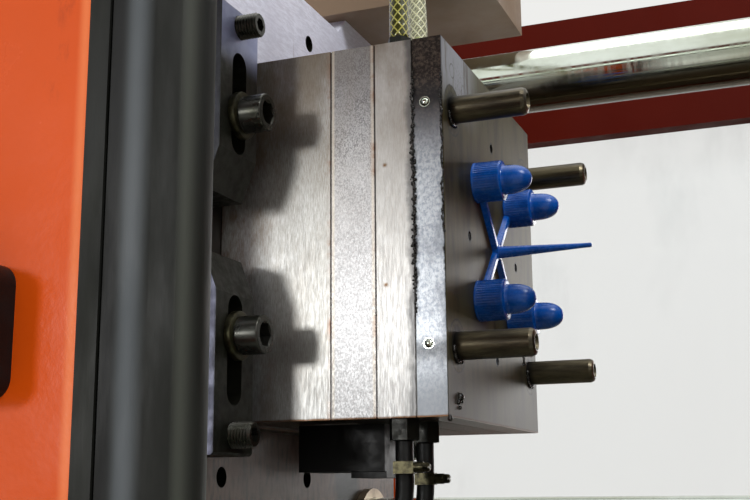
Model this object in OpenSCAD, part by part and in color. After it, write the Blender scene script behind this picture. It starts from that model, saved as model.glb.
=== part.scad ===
// Horizontal injection moulding machine with a four-cavity stripper-plate mould, shown with the
// mould open and the sliding operator door drawn back. Millimetres, +X from the clamp end to the
// hopper end, +Z up, origin on the floor under the middle of the bed.

/* [Machine] */
// Height of the clamping axis over the floor
axis_h = 1200; // [1150:10:1300]
// Length of the bed
bed_l = 3800; // [3700:20:4000]
// Width over the sole plates of the bed
bed_w = 1200; // [1180:2:1240]
// Gap between the platens and the top of the bed
platen_clear = 73; // [60:1:90]
// Height of the levelling pads under the bed
pad_h = 60; // [50:1:90]
// Diameter of a levelling pad
pad_d = 150; // [120:5:170]
// Clearance on each side between pieces that slide on each other
slide_gap = 0.3; // [0.25:0.05:0.5]

/* [Clamp unit] */
// Width and height of the platens over the corner bosses
platen_size = 654; // [640:1:670]
// Thickness of the moving and the stationary platen
platen_t = 180; // [150:5:200]
// Depth of the four recesses between the corner bosses
platen_recess = 21.5; // [10:0.5:30]
// Half length of a recess between two corner bosses
recess_half = 165; // [150:1:180]
// Distance between tie bar centres
tie_pitch = 490; // [480:1:500]
// Diameter of the tie bars
tie_d = 70; // [60:1:76]
// Opening stroke of the moving platen
opening = 300; // [200:5:320]
// Place of the moving parting face along the bed, with the mould open
parting_x = -400; // [-420:1:-380]
// Free length of the ram between the moving platen and the cylinder platen
ram_free = 201; // [190:1:260]
// Thickness of the cylinder platen
cylinder_platen_t = 200; // [180:5:220]
// Diameter of the clamp ram
ram_d = 300; // [240:2:320]
// Outer diameter of the clamp cylinder
cylinder_d = 420; // [400:2:440]
// Bore through both mould platens
platen_bore = 125; // [100:1:130]
// Diameter of the tapped holes in the platen faces
tapped_d = 17.5; // [14:0.5:20]
// Outer diameter of the collar of a platen bushing
bush_collar_d = 90; // [88:1:100]

/* [Mould] */
// Width of the mould plates
mould_w = 280; // [270:1:286]
// Height of the mould plates
mould_h = 300; // [290:1:310]
// Thickness of the stripper plate
stripper_t = 25; // [20:1:30]
// Thickness of the core plate
core_t = 32; // [28:1:40]
// Thickness of the support plate
support_t = 38; // [30:1:45]
// Height of the spacer blocks
spacer_t = 99; // [96:1:110]
// Width of a spacer block
spacer_w = 45; // [40:1:50]
// Thickness of the clamp plate of the moving half
clamp_plate_t = 25; // [22:1:30]
// How far a clamp plate stands out on each side
flange = 35; // [30:1:36]
// Thickness of the cavity plate
cavity_t = 60; // [55:1:70]
// Thickness of the stationary clamp plate
front_plate_t = 35; // [30:1:40]
// Guide pin diameter
pin_d = 22; // [18:0.5:24]
// Distance between guide pins across the mould
pin_pitch_y = 228; // [220:1:232]
// Distance between guide pins up the mould
pin_pitch_z = 190; // [180:1:200]
// Length of a guide pin past the parting face
pin_reach = 62; // [58:0.5:64]
// Ejector stroke
eject = 45; // [30:1:48]

/* [Moulded shot] */
// Distance between cap centres across the mould
cap_pitch_y = 102; // [98:1:108]
// Distance between cap centres up the mould
cap_pitch_z = 101; // [98:1:108]
// Outer diameter of a cap's ribbed skirt
skirt_d = 35; // [32:0.5:37]
// Height of the skirt
skirt_h = 21; // [16:0.5:24]
// Diameter of the nose of a cap
nose_d = 24; // [20:0.5:26]
// Height of a whole cap
cap_h = 48; // [42:0.5:50]
// Wall of a cap
cap_wall = 1.6; // [1.2:0.1:2]
// Width of a runner arm
runner_w = 8; // [6:0.5:9]
// Depth of a runner arm
runner_t = 5; // [3:0.5:6]
// Length of the sprue
sprue_l = 85.8; // [80:0.1:88]
// Diameter of the sprue at its foot
sprue_d = 11; // [8:0.5:12]
// Diameter of the sprue at its tip
sprue_tip_d = 3; // [2:0.5:4]

/* [Mould clamps] */
// Distance of the clamp's bolt line from the side of the mould
clamp_offset = 47; // [46:0.5:50]
// Width of a clamp
clamp_w = 60.5; // [50:0.5:64]
// Thickness of a clamp
clamp_t = 40; // [30:1:45]
// Thickness left at a clamp's toe
toe_t = 28; // [20:1:30]
// Height of a clamp's toe over the mould's middle
toe_z = 24; // [16:1:30]
// Height of a clamp's heel over the mould's middle
heel_z = 177; // [174:1:190]
// Width of the bolt slot
slot_w = 23; // [21.5:0.5:26]
// Height of the lower end of the slot
slot_z = 56; // [50:1:60]
// Height of the upper end of the slot
slot_end_z = 140; // [130:1:142]
// Height of the clamping screw
screw_z = 87.5; // [80:0.5:100]
// Height of the heel screw
heel_screw_z = 162; // [158:0.5:166]
// Diameter of the clamping and the heel screws
screw_d = 20; // [16:0.5:20]

/* [Guards] */
// How far the fixed guards stand in from the edge of the sole plates
guard_inset = 60; // [55:1:70]
// Height of the fixed guards over the bed
guard_h = 838; // [800:1:900]
// Thickness of a sliding door
door_t = 30; // [24:1:30]
// Width of the operator door
door_w = 640; // [600:1:660]
// Place of the operator door's leading edge along the bed, with the door open
door_edge_x = -416.5; // [-430:0.5:-410]
// Travel of the operator door
door_travel = 600; // [560:1:620]
// Width of the doors' frame members
door_stile = 70; // [60:1:90]
// Width of the rear door
rear_door_w = 660; // [620:1:700]
// Left edge of the rear door when it is shut
rear_door_x = -760; // [-770:1:-740]
// Height of the underside of the header beams over the bed
header_lift = 657; // [640:1:670]
// Height of the header beams
header_h = 170; // [150:1:176]

/* [Coolant hoses] */
// Outer diameter of the braided hoses on top
upper_hose_d = 16; // [12:0.5:18]
// Outer diameter of the rubber hoses below
lower_hose_d = 14; // [12:0.5:16]

/* [Injection unit] */
// Travel of the injection carriage
carriage_travel = 200; // [100:5:220]
// Injection stroke of the screw
screw_travel = 150; // [100:5:160]
// Diameter of the screw
screw_core_d = 45; // [40:1:50]
// Outer diameter of the barrel
barrel_d = 120; // [100:1:130]
// Place of the middle of the feed throat
throat_x = 990; // [980:5:1020]
// Length of the barrel in front of its housing
barrel_l = 700; // [680:5:720]
// Diameter of the hopper
hopper_d = 360; // [300:5:380]
// Height of the hopper's cone
cone_h = 280; // [240:5:300]
// Height of the hopper's straight rim over the cone
hopper_rim_h = 220; // [180:5:240]
// Diameter of the hydraulic motor of the screw
motor_d = 180; // [150:5:200]
// Length of the hydraulic motor
motor_l = 160; // [140:5:180]

/* [Hidden] */
$fn = 48;

// Heights from the axis down to the bed, and the guards on it
bed_h = axis_h - platen_size / 2 - platen_clear;
guard_y = bed_w / 2 - guard_inset;
guard_top = bed_h + guard_h;
header_z = bed_h + header_lift;

// Planes along the machine, from the parting face back to the moving platen
core_x = parting_x - stripper_t;
support_x = core_x - core_t;
spacer_x = support_x - support_t;
clamp_plate_x = spacer_x - spacer_t;
platen_x = clamp_plate_x - clamp_plate_t;
platen_back = platen_x - platen_t;
cylinder_x = platen_back - ram_free;
cylinder_back = cylinder_x - cylinder_platen_t;

// Planes from the stationary parting face forward to the injection unit
cavity_x = parting_x + opening;
front_plate_x = cavity_x + cavity_t;
fixed_x = front_plate_x + front_plate_t;
fixed_back = fixed_x + platen_t;

// Tie bars, nuts and bushings
tie_places = [for (y = [-1, 1], z = [-1, 1]) [y * tie_pitch / 2, axis_h + z * tie_pitch / 2]];
nut_l = 70;
nut_d = 112;
bush_body_d = 84;
bush_collar_t = 8;

// Mould details
edge = 0.6;
flange_y = mould_w / 2 + flange;
clamp_y = mould_w / 2 + clamp_offset;
pin_places = [for (y = [-1, 1], z = [-1, 1]) [y * pin_pitch_y / 2, axis_h + z * pin_pitch_z / 2]];
cap_places = [for (y = [-1, 1], z = [-1, 1]) [y * cap_pitch_y / 2, axis_h + z * cap_pitch_z / 2]];
rod_pitch_y = 144;
rod_pitch_z = 236;
rod_places = [for (y = [-1, 1], z = [-1, 1]) [y * rod_pitch_y / 2, axis_h + z * rod_pitch_z / 2]];
pin_head_d = 30;
pin_head_t = 8;
rod_d = 16;
rod_head_d = 24;
rod_head_t = 6;
rod_hole_d = rod_d + 1;
bushing_d = 32;
bushing_flange_d = 41;
bushing_flange_t = 5;
core_d = skirt_d - 2 * cap_wall - 2 * slide_gap;
core_nose_d = nose_d - 2 * cap_wall - 2 * slide_gap;
core_head_d = 37;
core_head_t = 6;
rest_pad_t = 4;
rest_pad_d = 24;
base_plate_t = 25;
retainer_t = 20;
ejector_w = mould_w - 2 * spacer_w - 4;
ejector_h = mould_h - 4;
base_x = clamp_plate_x + rest_pad_t;
retainer_x = base_x + base_plate_t;
retainer_end = retainer_x + retainer_t;
ejector_rod_d = 40;
piston_d = 99;
piston_inset = 150;
piston_x = platen_back - piston_inset;
cavity_gap = 0.4;
nozzle_tip_x = cavity_x + sprue_l + cavity_gap;

// Tapped holes of both platens, from the axis, as places across and up
bolt_rows = [[257, 87.5], [86, 261], [86, 191], [257, 17.5]];

// Guards and doors
sheet = 3;
bed_side = bed_w / 2 - 20;
guard_x0 = -bed_l / 2 + 10;
front_guard_w = 385;
door_y = guard_y + 5;
rail_h = 20;
door_z0 = bed_h + rail_h + slide_gap;
door_z1 = guard_top - 18;
seal_w = 51;
jamb_x = door_edge_x + seal_w + door_travel + 0.6;
guard_x1 = jamb_x + front_guard_w;
window_z0 = bed_h + 150;
window_z1 = header_z + 18;
window_t = 6;
pane_lap = 11;
guard_window_t = 5;
guard_window_z1 = header_z - 13;
strip_h = 20;
strip_z = header_z + header_h - 2 * strip_h;
post_w = 40;
post_t = 25;
louvre_l = 180;
louvre_h = 8;
louvre_z = bed_h + 150;
louvre_pitch = 36;
front_gap_x = door_edge_x + 1.5;
rear_gap_x = [rear_door_x + 60, rear_door_x + rear_door_w - 60];

// Bed
sole_w = 80;
sole_t = 20;
tunnel_x = [-560, -40];
tunnel_z = bed_h - 200;
slide_w = 40;
slide_y = [platen_size / 2 - 2 - slide_w, platen_size / 2 - 2];
slide_z = bed_h + 60;
chute_y = slide_y[0] - 10;

// Injection unit
housing_half = 90;
neck_half = 140;
saddle_t = 60;
bands = 5;
band_pitch = (barrel_l - 50) / bands;
band_w = band_pitch - 30;
pull_body_d = 70;
pull_bore = 54;
inj_body_d = 110;
inj_bore = 84;
housing_x = throat_x - housing_half;
housing_back = throat_x + housing_half;
barrel_x = housing_x - barrel_l;
pull_body_l = carriage_travel + 140;
inj_body_l = screw_travel + 100;
drive_x = housing_back + inj_body_l + 15;
drive_t = 50;
motor_flange_t = 60;
motor_x = drive_x + drive_t + motor_flange_t;
rail_y = 200;
carriage_rail_h = 30;
inj_y = 190;
pull_y = 120;
pull_z = axis_h - barrel_d / 2 - 80;
rod_end = housing_x - 40;
inj_rod_d = 50;
screw_shaft_d = screw_core_d - 14;
pull_rod_d = 32;
throat_h = 160;
throat_d = 60;
hopper_z = axis_h + throat_h;
cone_z = hopper_z + cone_h;
rim_z = cone_z + hopper_rim_h;

// Clamp cylinder and ejector cylinder
ram_tail = 60;
cylinder_cap = 120;
cylinder_rim = 40;
ram_back = cylinder_back - opening - ram_tail;
cylinder_end = ram_back - cylinder_cap;
ejector_body_d = 140;
piston_t = 30;
ejector_end = piston_x - piston_t - 31;
tie_l = fixed_back - cylinder_back + 2 * nut_l + 20;

// Clamping screws and washers
washer_d = 38;
washer_t = 6;
head_d = 30;
head_t = 20;
socket_d = 19.6;
socket_depth = 10;
heel_socket_d = 11.5;
heel_socket_depth = 12;
screw_grip = 38;
clip_w = 9;
clip_z = [for (drop = [41, 49]) axis_h - mould_h / 2 - drop];

// Stationary side of the sprue, and the nozzle
sprue_shank_d = 30;
seat_t = 12;
seat_d = [6, 54];
nozzle_l = barrel_x - nozzle_tip_x;
flight_x = barrel_x + 60;
flight_l = throat_x + 20 - flight_x;
carriage_z = bed_h + carriage_rail_h + slide_gap;
pin_l = parting_x + pin_reach - support_x;
ribs = 48;
rib_depth = 0.5;

// Doors, panel, switch, hinge of the hopper's lid
door_window_x = [door_edge_x - door_w + door_stile, door_edge_x - door_stile];
rear_window_x = [rear_door_x + door_stile, rear_door_x + rear_door_w - door_stile];
handle_inset = 30.5;
handle_l = 80;
handle_h = 56;
handle_z = bed_h + 233;
handle_r = 9;
bow_x = rear_door_x + 20;
bow_w = 30;
bow_z = bed_h + 250;
bow_h = 160;
bow_leg = 25;
panel_w = 220;
panel_x = guard_x1 - 100 - panel_w;
panel_t = 40;
panel_z = bed_h + 430;
panel_h = 330;
stop_x = panel_x + panel_w - 45;
stop_z = panel_z + 55;
stop_stem_d = 22;
switch_x = 700;
switch_z = bed_h - 240;
switch_shaft_d = 12;
hinge_y = hopper_d / 2 + 16;
hinge_z = rim_z + 8;
hinge_pin_d = 10;

// Routes of the coolant hoses, as points on their middle lines from the middle of the core plate
hose_x = core_x - core_t / 2;
function from_core(p) = [for (q = p) q + [hose_x, 0, axis_h]];
upper_a = from_core([[0, -124, 158], [0, -124, 184], [0, -124, 210], [-1, -124, 238], [-2, -121, 266],
    [-4, -114, 294], [-6, -100, 321], [-9, -79, 343], [-12, -51, 359], [-15, -19, 366], [-18, 15, 368],
    [-21, 50, 368], [-23, 84, 367], [-25, 118, 367], [-25, 150, 367]]);
upper_b = from_core([[0, -76, 158], [0, -76, 186], [-1, -76, 214], [-2, -75, 242], [-5, -71, 270],
    [-9, -62, 298], [-16, -47, 323], [-23, -26, 343], [-31, 0, 357], [-38, 28, 366], [-46, 56, 368],
    [-52, 84, 368], [-56, 108, 367], [-59, 130, 367], [-59, 150, 367]]);
lower_a = from_core([[0, -124, -166], [0, -124, -177], [0, -124, -188], [0, -124, -199], [-1, -124, -211],
    [-3, -124, -223], [-7, -124, -235], [-14, -124, -246], [-23, -124, -256], [-34, -124, -264],
    [-46, -124, -270], [-59, -124, -274], [-75, -124, -275], [-100, -124, -275], [-124, -124, -275]]);
lower_b = from_core([[0, -76, -166], [0, -76, -177], [0, -76, -188], [0, -76, -199], [-1, -76, -211],
    [-3, -76, -223], [-7, -76, -235], [-14, -76, -246], [-23, -76, -256], [-34, -76, -264],
    [-46, -76, -270], [-59, -76, -274], [-75, -76, -275], [-100, -76, -275], [-124, -76, -275]]);
hose_places = [upper_a[0][1], upper_b[0][1]];
stub = 15;
manifold_face = upper_a[len(upper_a) - 1][1] + stub;
manifold_l = 357;
manifold_h = 80;

// Directions and rings of a hose swept along its route
function unit(v) = v / norm(v);
function heading(p, i) = unit(p[min(i + 1, len(p) - 1)] - p[max(i - 1, 0)]);
function ring(p, i, r, side, n) = let (t = heading(p, i), u = unit(side - (side * t) * t), v = cross(t, u))
    [for (k = [0:n - 1]) p[i] + r * (cos(360 * k / n) * u + sin(360 * k / n) * v)];

// Outline of a platen: one corner, turned four times
platen_half = platen_size / 2;
platen_edge = platen_half - platen_recess;
boss_start = recess_half + 20;
boss_chamfer = 12;
platen_corner = [[recess_half, platen_edge], [boss_start, platen_half],
    [platen_half - boss_chamfer, platen_half], [platen_half, platen_half - boss_chamfer],
    [platen_half, boss_start], [platen_edge, recess_half]];
function turned(p, n) = n == 0 ? p : turned([p[1], -p[0]], n - 1);

module block(x, y, z) translate([x[0], y[0], z[0]]) cube([x[1] - x[0], y[1] - y[0], z[1] - z[0]]);
module rod_x(d, x, y, z) translate([x[0], y, z]) rotate([0, 90, 0]) cylinder(d = d, h = x[1] - x[0]);
module rod_y(d, x, y, z) translate([x, y[0], z]) rotate([-90, 0, 0]) cylinder(d = d, h = y[1] - y[0]);
module rod_z(d, x, y, z) translate([x, y, z[0]]) cylinder(d = d, h = z[1] - z[0]);
module along_x(x) translate([x[0], 0, 0]) rotate([90, 0, 90]) linear_extrude(x[1] - x[0]) children();
module cone_x(d, x, y, z) translate([x[0], y, z]) rotate([0, 90, 0])
    cylinder(d1 = d[0], d2 = d[1], h = x[1] - x[0]);
module mirrored(v) {
    children();
    mirror(v) children();
}

// A tube along a hose's route, with flat ends
module hose(p, d, side, n = 10) {
    last = (len(p) - 1) * n;
    polyhedron([for (i = [0:len(p) - 1]) each ring(p, i, d / 2, side, n)],
        concat([[for (k = [0:n - 1]) k], [for (k = [n - 1:-1:0]) last + k]],
            [for (i = [0:len(p) - 2], k = [0:n - 1])
                [i * n + k, (i + 1) * n + k, (i + 1) * n + (k + 1) % n, i * n + (k + 1) % n]]));
}

// Bed: a welded base with a tunnel for the parts box and a chute opening between the platens
module bed_frame() color([0.80, 0.80, 0.78]) {
    difference() {
        union() {
            block([-bed_l / 2, bed_l / 2], [-bed_side, bed_side], [pad_h, bed_h]);
            mirrored([0, 1, 0])
                block([-bed_l / 2, bed_l / 2], [bed_side - sole_w, bed_w / 2], [pad_h, pad_h + sole_t]);
        }
        difference() {
            block(tunnel_x, [-bed_w, bed_w], [pad_h - 1, tunnel_z]);
            mirrored([0, 1, 0]) block(tunnel_x, [bed_side - sole_w, bed_w / 2], [pad_h, pad_h + sole_t]);
        }
        block([tunnel_x[0] + 20, tunnel_x[1] - 20], [-chute_y, chute_y], [tunnel_z - 1, bed_h + 1]);
        rod_y(switch_shaft_d + 2 * slide_gap, switch_x, [-bed_side - 1, -bed_side + 30], switch_z);
    }
    mirrored([0, 1, 0]) {
        block([platen_back - 30, platen_x + opening + 30], slide_y, [bed_h, slide_z]);
        block([guard_x0 + 60, jamb_x - 5], [door_y + 6, door_y + door_t - 6], [bed_h, bed_h + rail_h]);
    }
}

// Eight levelling pads: a foot, a stud and a locking collar
module levelling_pads() color([0.25, 0.26, 0.27])
    for (x = [-1, -0.36, 0.36, 1], y = [-1, 1])
        translate([x * (bed_l / 2 - 120), y * (bed_side - 60), 0]) rotate_extrude()
            polygon([[0, 0], [pad_d / 2, 0], [pad_d / 2, 14], [pad_d / 2 - 8, 20], [28, 26], [28, 34],
                [14, 34], [14, pad_h - 12], [26, pad_h - 12], [26, pad_h], [0, pad_h]]);

// Sheet panels on the sides of the bed, with ventilation slots
module bed_panel(x) difference() {
    block(x, [bed_side, bed_side + sheet], [pad_h + 60, bed_h - 20]);
    for (k = [0:5])
        block([x[0] + 160, x[0] + 400], [bed_side - 1, bed_side + sheet + 1],
            [pad_h + 160 + 40 * k, pad_h + 168 + 40 * k]);
}
module bed_panels() color([0.86, 0.85, 0.82]) {
    bed_panel([-bed_l / 2 + 20, tunnel_x[0] - 20]);
    bed_panel([tunnel_x[1] + 20, bed_l / 2 - 20]);
    mirror([0, 1, 0]) bed_panel([-bed_l / 2 + 20, tunnel_x[0] - 20]);
    difference() {
        mirror([0, 1, 0]) bed_panel([tunnel_x[1] + 20, bed_l / 2 - 20]);
        rod_y(switch_shaft_d + 8, switch_x, [-bed_w, 0], switch_z);
    }
}

// Platens: one casting form with corner bosses, bored for the tie bars
module platen_casting(x, tie_bore) difference() {
    along_x(x) translate([0, axis_h]) polygon([for (n = [0:3], p = platen_corner) turned(p, n)]);
    for (p = tie_places) rod_x(tie_bore, [x[0] - 1, x[1] + 1], p[0], p[1]);
}
module tapped_holes(x) for (b = bolt_rows, y = [-1, 1], z = [-1, 1])
    rod_x(tapped_d, x, y * b[0], axis_h + z * b[1]);
module screw_holes(x) for (y = [-1, 1], z = [-1, 1])
    rod_x(screw_d, x, y * clamp_y, axis_h + z * screw_z);
module platen_feet(x) mirrored([0, 1, 0])
    block([x[0] + 15, x[1] - 15], [boss_start + 5, platen_half - boss_chamfer - 3],
        [bed_h, axis_h - platen_half + 5]);

module stationary_platen() color([0.62, 0.60, 0.64]) {
    difference() {
        union() {
            platen_casting([fixed_x, fixed_back], tie_d);
            platen_feet([fixed_x, fixed_back]);
        }
        rod_x(platen_bore, [fixed_x - 1, fixed_back + 1], 0, axis_h);
        rod_x(platen_bore + 95, [fixed_back - 80, fixed_back + 1], 0, axis_h);
        tapped_holes([fixed_x - 1, fixed_x + 45]);
        screw_holes([fixed_x - 1, fixed_x + 40]);
    }
    for (y = [-1, 1]) rod_x(pull_rod_d, [fixed_back, rod_end], y * pull_y, pull_z);
}

module cylinder_platen() color([0.62, 0.60, 0.64]) difference() {
    union() {
        platen_casting([cylinder_back, cylinder_x], tie_d);
        platen_feet([cylinder_back, cylinder_x]);
    }
    rod_x(ram_d + 2 * slide_gap, [cylinder_back - 1, cylinder_x + 1], 0, axis_h);
}

module tie_bars() color([0.85, 0.87, 0.87]) for (p = tie_places)
    translate([cylinder_back - nut_l - 10, p[0], p[1]]) rotate([0, 90, 0]) rotate_extrude()
        polygon([[0, 0], [tie_d / 2 - 3, 0], [tie_d / 2, 3], [tie_d / 2, tie_l - 3], [tie_d / 2 - 3, tie_l],
            [0, tie_l]]);

// Ring nuts with wrench slots, behind both end platens
module tie_nut(x, p) difference() {
    rod_x(nut_d, [x, x + nut_l], p[0], p[1]);
    rod_x(tie_d, [x - 1, x + nut_l + 1], p[0], p[1]);
    for (a = [0:60:300]) translate([0, p[0], p[1]]) rotate([a, 0, 0])
        block([x - 1, x + nut_l + 1], [nut_d / 2 - 6, nut_d / 2 + 1], [-6, 6]);
}
module tie_bar_nuts() color([0.35, 0.35, 0.36])
    for (x = [cylinder_back - nut_l, fixed_back], p = tie_places) tie_nut(x, p);

// Clamp cylinder: flanged barrel with a closed rear end, bolted to the cylinder platen
module clamp_cylinder() color([0.35, 0.37, 0.40]) difference() {
    union() {
        rod_x(cylinder_d, [cylinder_end, cylinder_back], 0, axis_h);
        rod_x(cylinder_d + 2 * cylinder_rim, [cylinder_back - 50, cylinder_back], 0, axis_h);
        rod_x(cylinder_d + 50, [cylinder_end, cylinder_end + cylinder_cap / 2], 0, axis_h);
        for (a = [15:30:345]) translate([0, 0, axis_h]) rotate([a, 0, 0])
            rod_x(30, [cylinder_back - 70, cylinder_back - 40], (cylinder_d + cylinder_rim) / 2, 0);
        rod_z(80, cylinder_end + cylinder_cap + 20, 0, [axis_h, axis_h + cylinder_d / 2 + 30]);
    }
    rod_x(ram_d + 20, [ram_back - cylinder_cap / 3, cylinder_back - 90], 0, axis_h);
    rod_x(ram_d + 2 * slide_gap, [cylinder_back - 91, cylinder_back + 1], 0, axis_h);
}

// Folded sheet guards round the clamp end and beside the injection end
module guard_side(x, louvres) difference() {
    union() {
        block(x, [guard_y - sheet, guard_y], [bed_h, guard_top]);
        block(x, [guard_y - 25, guard_y], [guard_top - sheet, guard_top]);
    }
    for (n = louvres, k = [0:7])
        block([n, n + louvre_l], [guard_y - sheet - 1, guard_y + 1],
            [louvre_z + louvre_pitch * k, louvre_z + louvre_pitch * k + louvre_h]);
}
module guide_strip(x, face) block(x, [face - 1, door_y - slide_gap], [strip_z, strip_z + strip_h]);
module fixed_guards() color([0.89, 0.36, 0.15]) {
    louvres = [guard_x0 + 190, guard_x0 + 590];
    union() {
        mirror([0, 1, 0]) {
            difference() {
                guard_side([guard_x0, front_gap_x], louvres);
                block(door_window_x, [guard_y - sheet - 1, guard_y + 1], [window_z0, guard_window_z1]);
            }
            guide_strip([guard_x0 + 60, front_gap_x], guard_y);
        }
        guard_side([guard_x0, rear_gap_x[0]], louvres);
        guide_strip([guard_x0 + 60, rear_gap_x[0]], guard_y);
        block([guard_x0, guard_x0 + sheet], [-guard_y, guard_y], [bed_h, guard_top]);
    }
    mirror([0, 1, 0]) {
        guard_side([jamb_x, guard_x1], []);
        block([jamb_x, jamb_x + sheet], [guard_y, door_y + door_t], [bed_h, guard_top]);
    }
    guard_side([rear_gap_x[1], guard_x1], []);
}

// Pane behind the guard's window, which the door's own window uncovers when the door is drawn back
module guard_window() color([0.80, 0.88, 0.90, 0.35]) mirror([0, 1, 0])
    block([door_window_x[0] - pane_lap, door_window_x[1] + pane_lap],
        [guard_y - sheet - guard_window_t, guard_y - sheet],
        [window_z0 - pane_lap, guard_window_z1 + pane_lap]);

// Portal frame that carries the guards: header beams, posts, end beams and the doors' top guides
module guard_post(x, face) block([x, x + post_w], [face - post_t, face], [bed_h, header_z + 1]);
module guard_headers() color([0.80, 0.24, 0.10]) {
    inner = guard_y - sheet;
    top = header_z + header_h;
    union() {
        mirrored([0, 1, 0]) {
            block([guard_x0 + sheet, guard_x1], [inner - post_t, inner], [header_z, top]);
            for (x = [guard_x0 + sheet, jamb_x + sheet, guard_x1 - post_w]) guard_post(x, inner);
        }
        mirror([0, 1, 0]) guard_post(door_window_x[0] - pane_lap - post_w - 5, inner);
        guard_post(rear_door_x + 12, inner);
        for (x = [guard_x0 + sheet, guard_x1 - post_w])
            block([x, x + post_w], [-inner, inner], [header_z, top]);
        mirror([0, 1, 0]) guide_strip([front_gap_x + slide_gap, jamb_x - 5], inner);
        guide_strip([rear_gap_x[0] + slide_gap, rear_gap_x[1] - slide_gap], inner);
    }
}

module carriage_rails() color([0.70, 0.71, 0.72]) mirrored([0, 1, 0]) {
    block([housing_x - 60, bed_l / 2 - 60], [rail_y - 22, rail_y + 22], [bed_h, bed_h + 12]);
    block([housing_x - 60, bed_l / 2 - 60], [rail_y - 14, rail_y + 14],
        [bed_h + 12, bed_h + carriage_rail_h]);
}

// Operator panel on the guard beside the door, with a recessed screen and a hooded top
module control_panel() color([0.20, 0.21, 0.23]) difference() {
    union() {
        block([panel_x, panel_x + panel_w], [-guard_y - panel_t, -guard_y], [panel_z, panel_z + panel_h]);
        block([panel_x, panel_x + panel_w], [-guard_y - panel_t - 8, -guard_y],
            [panel_z + panel_h - 12, panel_z + panel_h]);
    }
    block([panel_x + 20, panel_x + panel_w - 20], [-guard_y - panel_t - 1, -guard_y - panel_t + 4],
        [panel_z + 120, panel_z + panel_h - 30]);
    rod_y(stop_stem_d + 2 * slide_gap, stop_x, [-guard_y - panel_t - 1, -guard_y - 8], stop_z);
}

module plate(x, half_w, half_h) {
    block([x[0] + edge, x[1] - edge], [-half_w, half_w], [axis_h - half_h, axis_h + half_h]);
    block(x, [edge - half_w, half_w - edge], [axis_h - half_h + edge, axis_h + half_h - edge]);
}

// Outline of a cap's nose and of what fits in or round it
function nose_points(r, l) = [for (t = [0:0.1:1]) [r * pow(1 - pow(t, 2.4), 0.53), l * t]];
module nose(x, d, p) translate([x[0], p[0], p[1]]) rotate([0, 90, 0]) rotate_extrude()
    polygon(concat([[0, 0]], nose_points(d / 2, x[1] - x[0])));

// Runner arms from the middle to each cap, widened by a clearance for the cavity side
module runner(x, gap) {
    reach = norm([cap_pitch_y, cap_pitch_z]) / 2 - skirt_d / 2 + 1 + gap;
    for (y = [-1, 1], z = [-1, 1]) translate([0, 0, axis_h])
        rotate([atan2(z * cap_pitch_z, y * cap_pitch_y), 0, 0])
            block(x, [0, reach], [-runner_w / 2 - gap, runner_w / 2 + gap]);
    rod_x(16 + 2 * gap, x, 0, axis_h);
}

module cavity_plate() color([0.66, 0.65, 0.63]) difference() {
    plate([cavity_x, front_plate_x], mould_w / 2, mould_h / 2);
    for (p = cap_places) {
        rod_x(skirt_d + 2 * cavity_gap, [cavity_x - 1, cavity_x + skirt_h + cavity_gap], p[0], p[1]);
        nose([cavity_x + skirt_h, cavity_x + cap_h + cavity_gap], nose_d + 2 * cavity_gap, p);
    }
    runner([cavity_x - 1, cavity_x + runner_t + cavity_gap], cavity_gap);
    for (p = pin_places) rod_x(pin_d + 2 * slide_gap, [cavity_x - 1, front_plate_x + 1], p[0], p[1]);
    rod_x(sprue_shank_d, [cavity_x + runner_t, front_plate_x + 1], 0, axis_h);
}

module front_clamp_plate() color([0.66, 0.65, 0.63]) difference() {
    plate([front_plate_x, fixed_x], flange_y, mould_h / 2);
    rod_x(sprue_shank_d, [front_plate_x - 1, fixed_x + 1], 0, axis_h);
    for (p = pin_places) rod_x(pin_d + 4, [front_plate_x - 1, front_plate_x + 10], p[0], p[1]);
}

// Sprue bushing with its locating flange, tapered sprue hole and nozzle seat
module sprue_bushing() color([0.45, 0.45, 0.46]) difference() {
    union() {
        rod_x(sprue_shank_d, [cavity_x + runner_t + cavity_gap, fixed_x], 0, axis_h);
        rod_x(platen_bore, [fixed_x, fixed_x + seat_t], 0, axis_h);
    }
    cone_x([sprue_d + 2 * cavity_gap, sprue_tip_d + 2 * cavity_gap], [cavity_x, nozzle_tip_x], 0, axis_h);
    cone_x([seat_d[0], seat_d[1]], [nozzle_tip_x - 1, fixed_x + seat_t], 0, axis_h);
}

// A strap clamp standing on end beside the mould: slotted, with its toe thinned by a slope
module clamp_bar(x) difference() {
    translate([x, clamp_y + clamp_w / 2, 0]) rotate([90, 0, 0]) linear_extrude(clamp_w)
        polygon([[0, toe_z], [toe_t, toe_z], [clamp_t, slot_z], [clamp_t, heel_z - 2],
            [clamp_t - 2, heel_z], [0, heel_z]]);
    rod_x(slot_w, [x - 1, x + clamp_t + 1], clamp_y, slot_z + slot_w / 2);
    rod_x(slot_w, [x - 1, x + clamp_t + 1], clamp_y, slot_end_z - slot_w / 2);
    block([x - 1, x + clamp_t + 1], [clamp_y - slot_w / 2, clamp_y + slot_w / 2],
        [slot_z + slot_w / 2, slot_end_z - slot_w / 2]);
    rod_x(screw_d, [x - 1, x + clamp_t + 1], clamp_y, heel_screw_z);
}
module four_times() translate([0, 0, axis_h])
    for (y = [0, 1], z = [0, 1]) mirror([0, y, 0]) mirror([0, 0, z]) children();
module washer(x) difference() {
    rod_x(washer_d, [x, x + washer_t], clamp_y, screw_z);
    rod_x(screw_d + 1, [x - 1, x + washer_t + 1], clamp_y, screw_z);
}
module cap_screw(x, reach) difference() {
    union() {
        rod_x(head_d, [x + 1, x + head_t - 1], clamp_y, screw_z);
        rod_x(head_d - 2, [x, x + head_t], clamp_y, screw_z);
        rod_x(screw_d, [x - reach, x + 1], clamp_y, screw_z);
    }
    translate([x + head_t - socket_depth, clamp_y, screw_z]) rotate([0, 90, 0])
        cylinder(d = socket_d, h = socket_depth + 1, $fn = 6);
}
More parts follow.
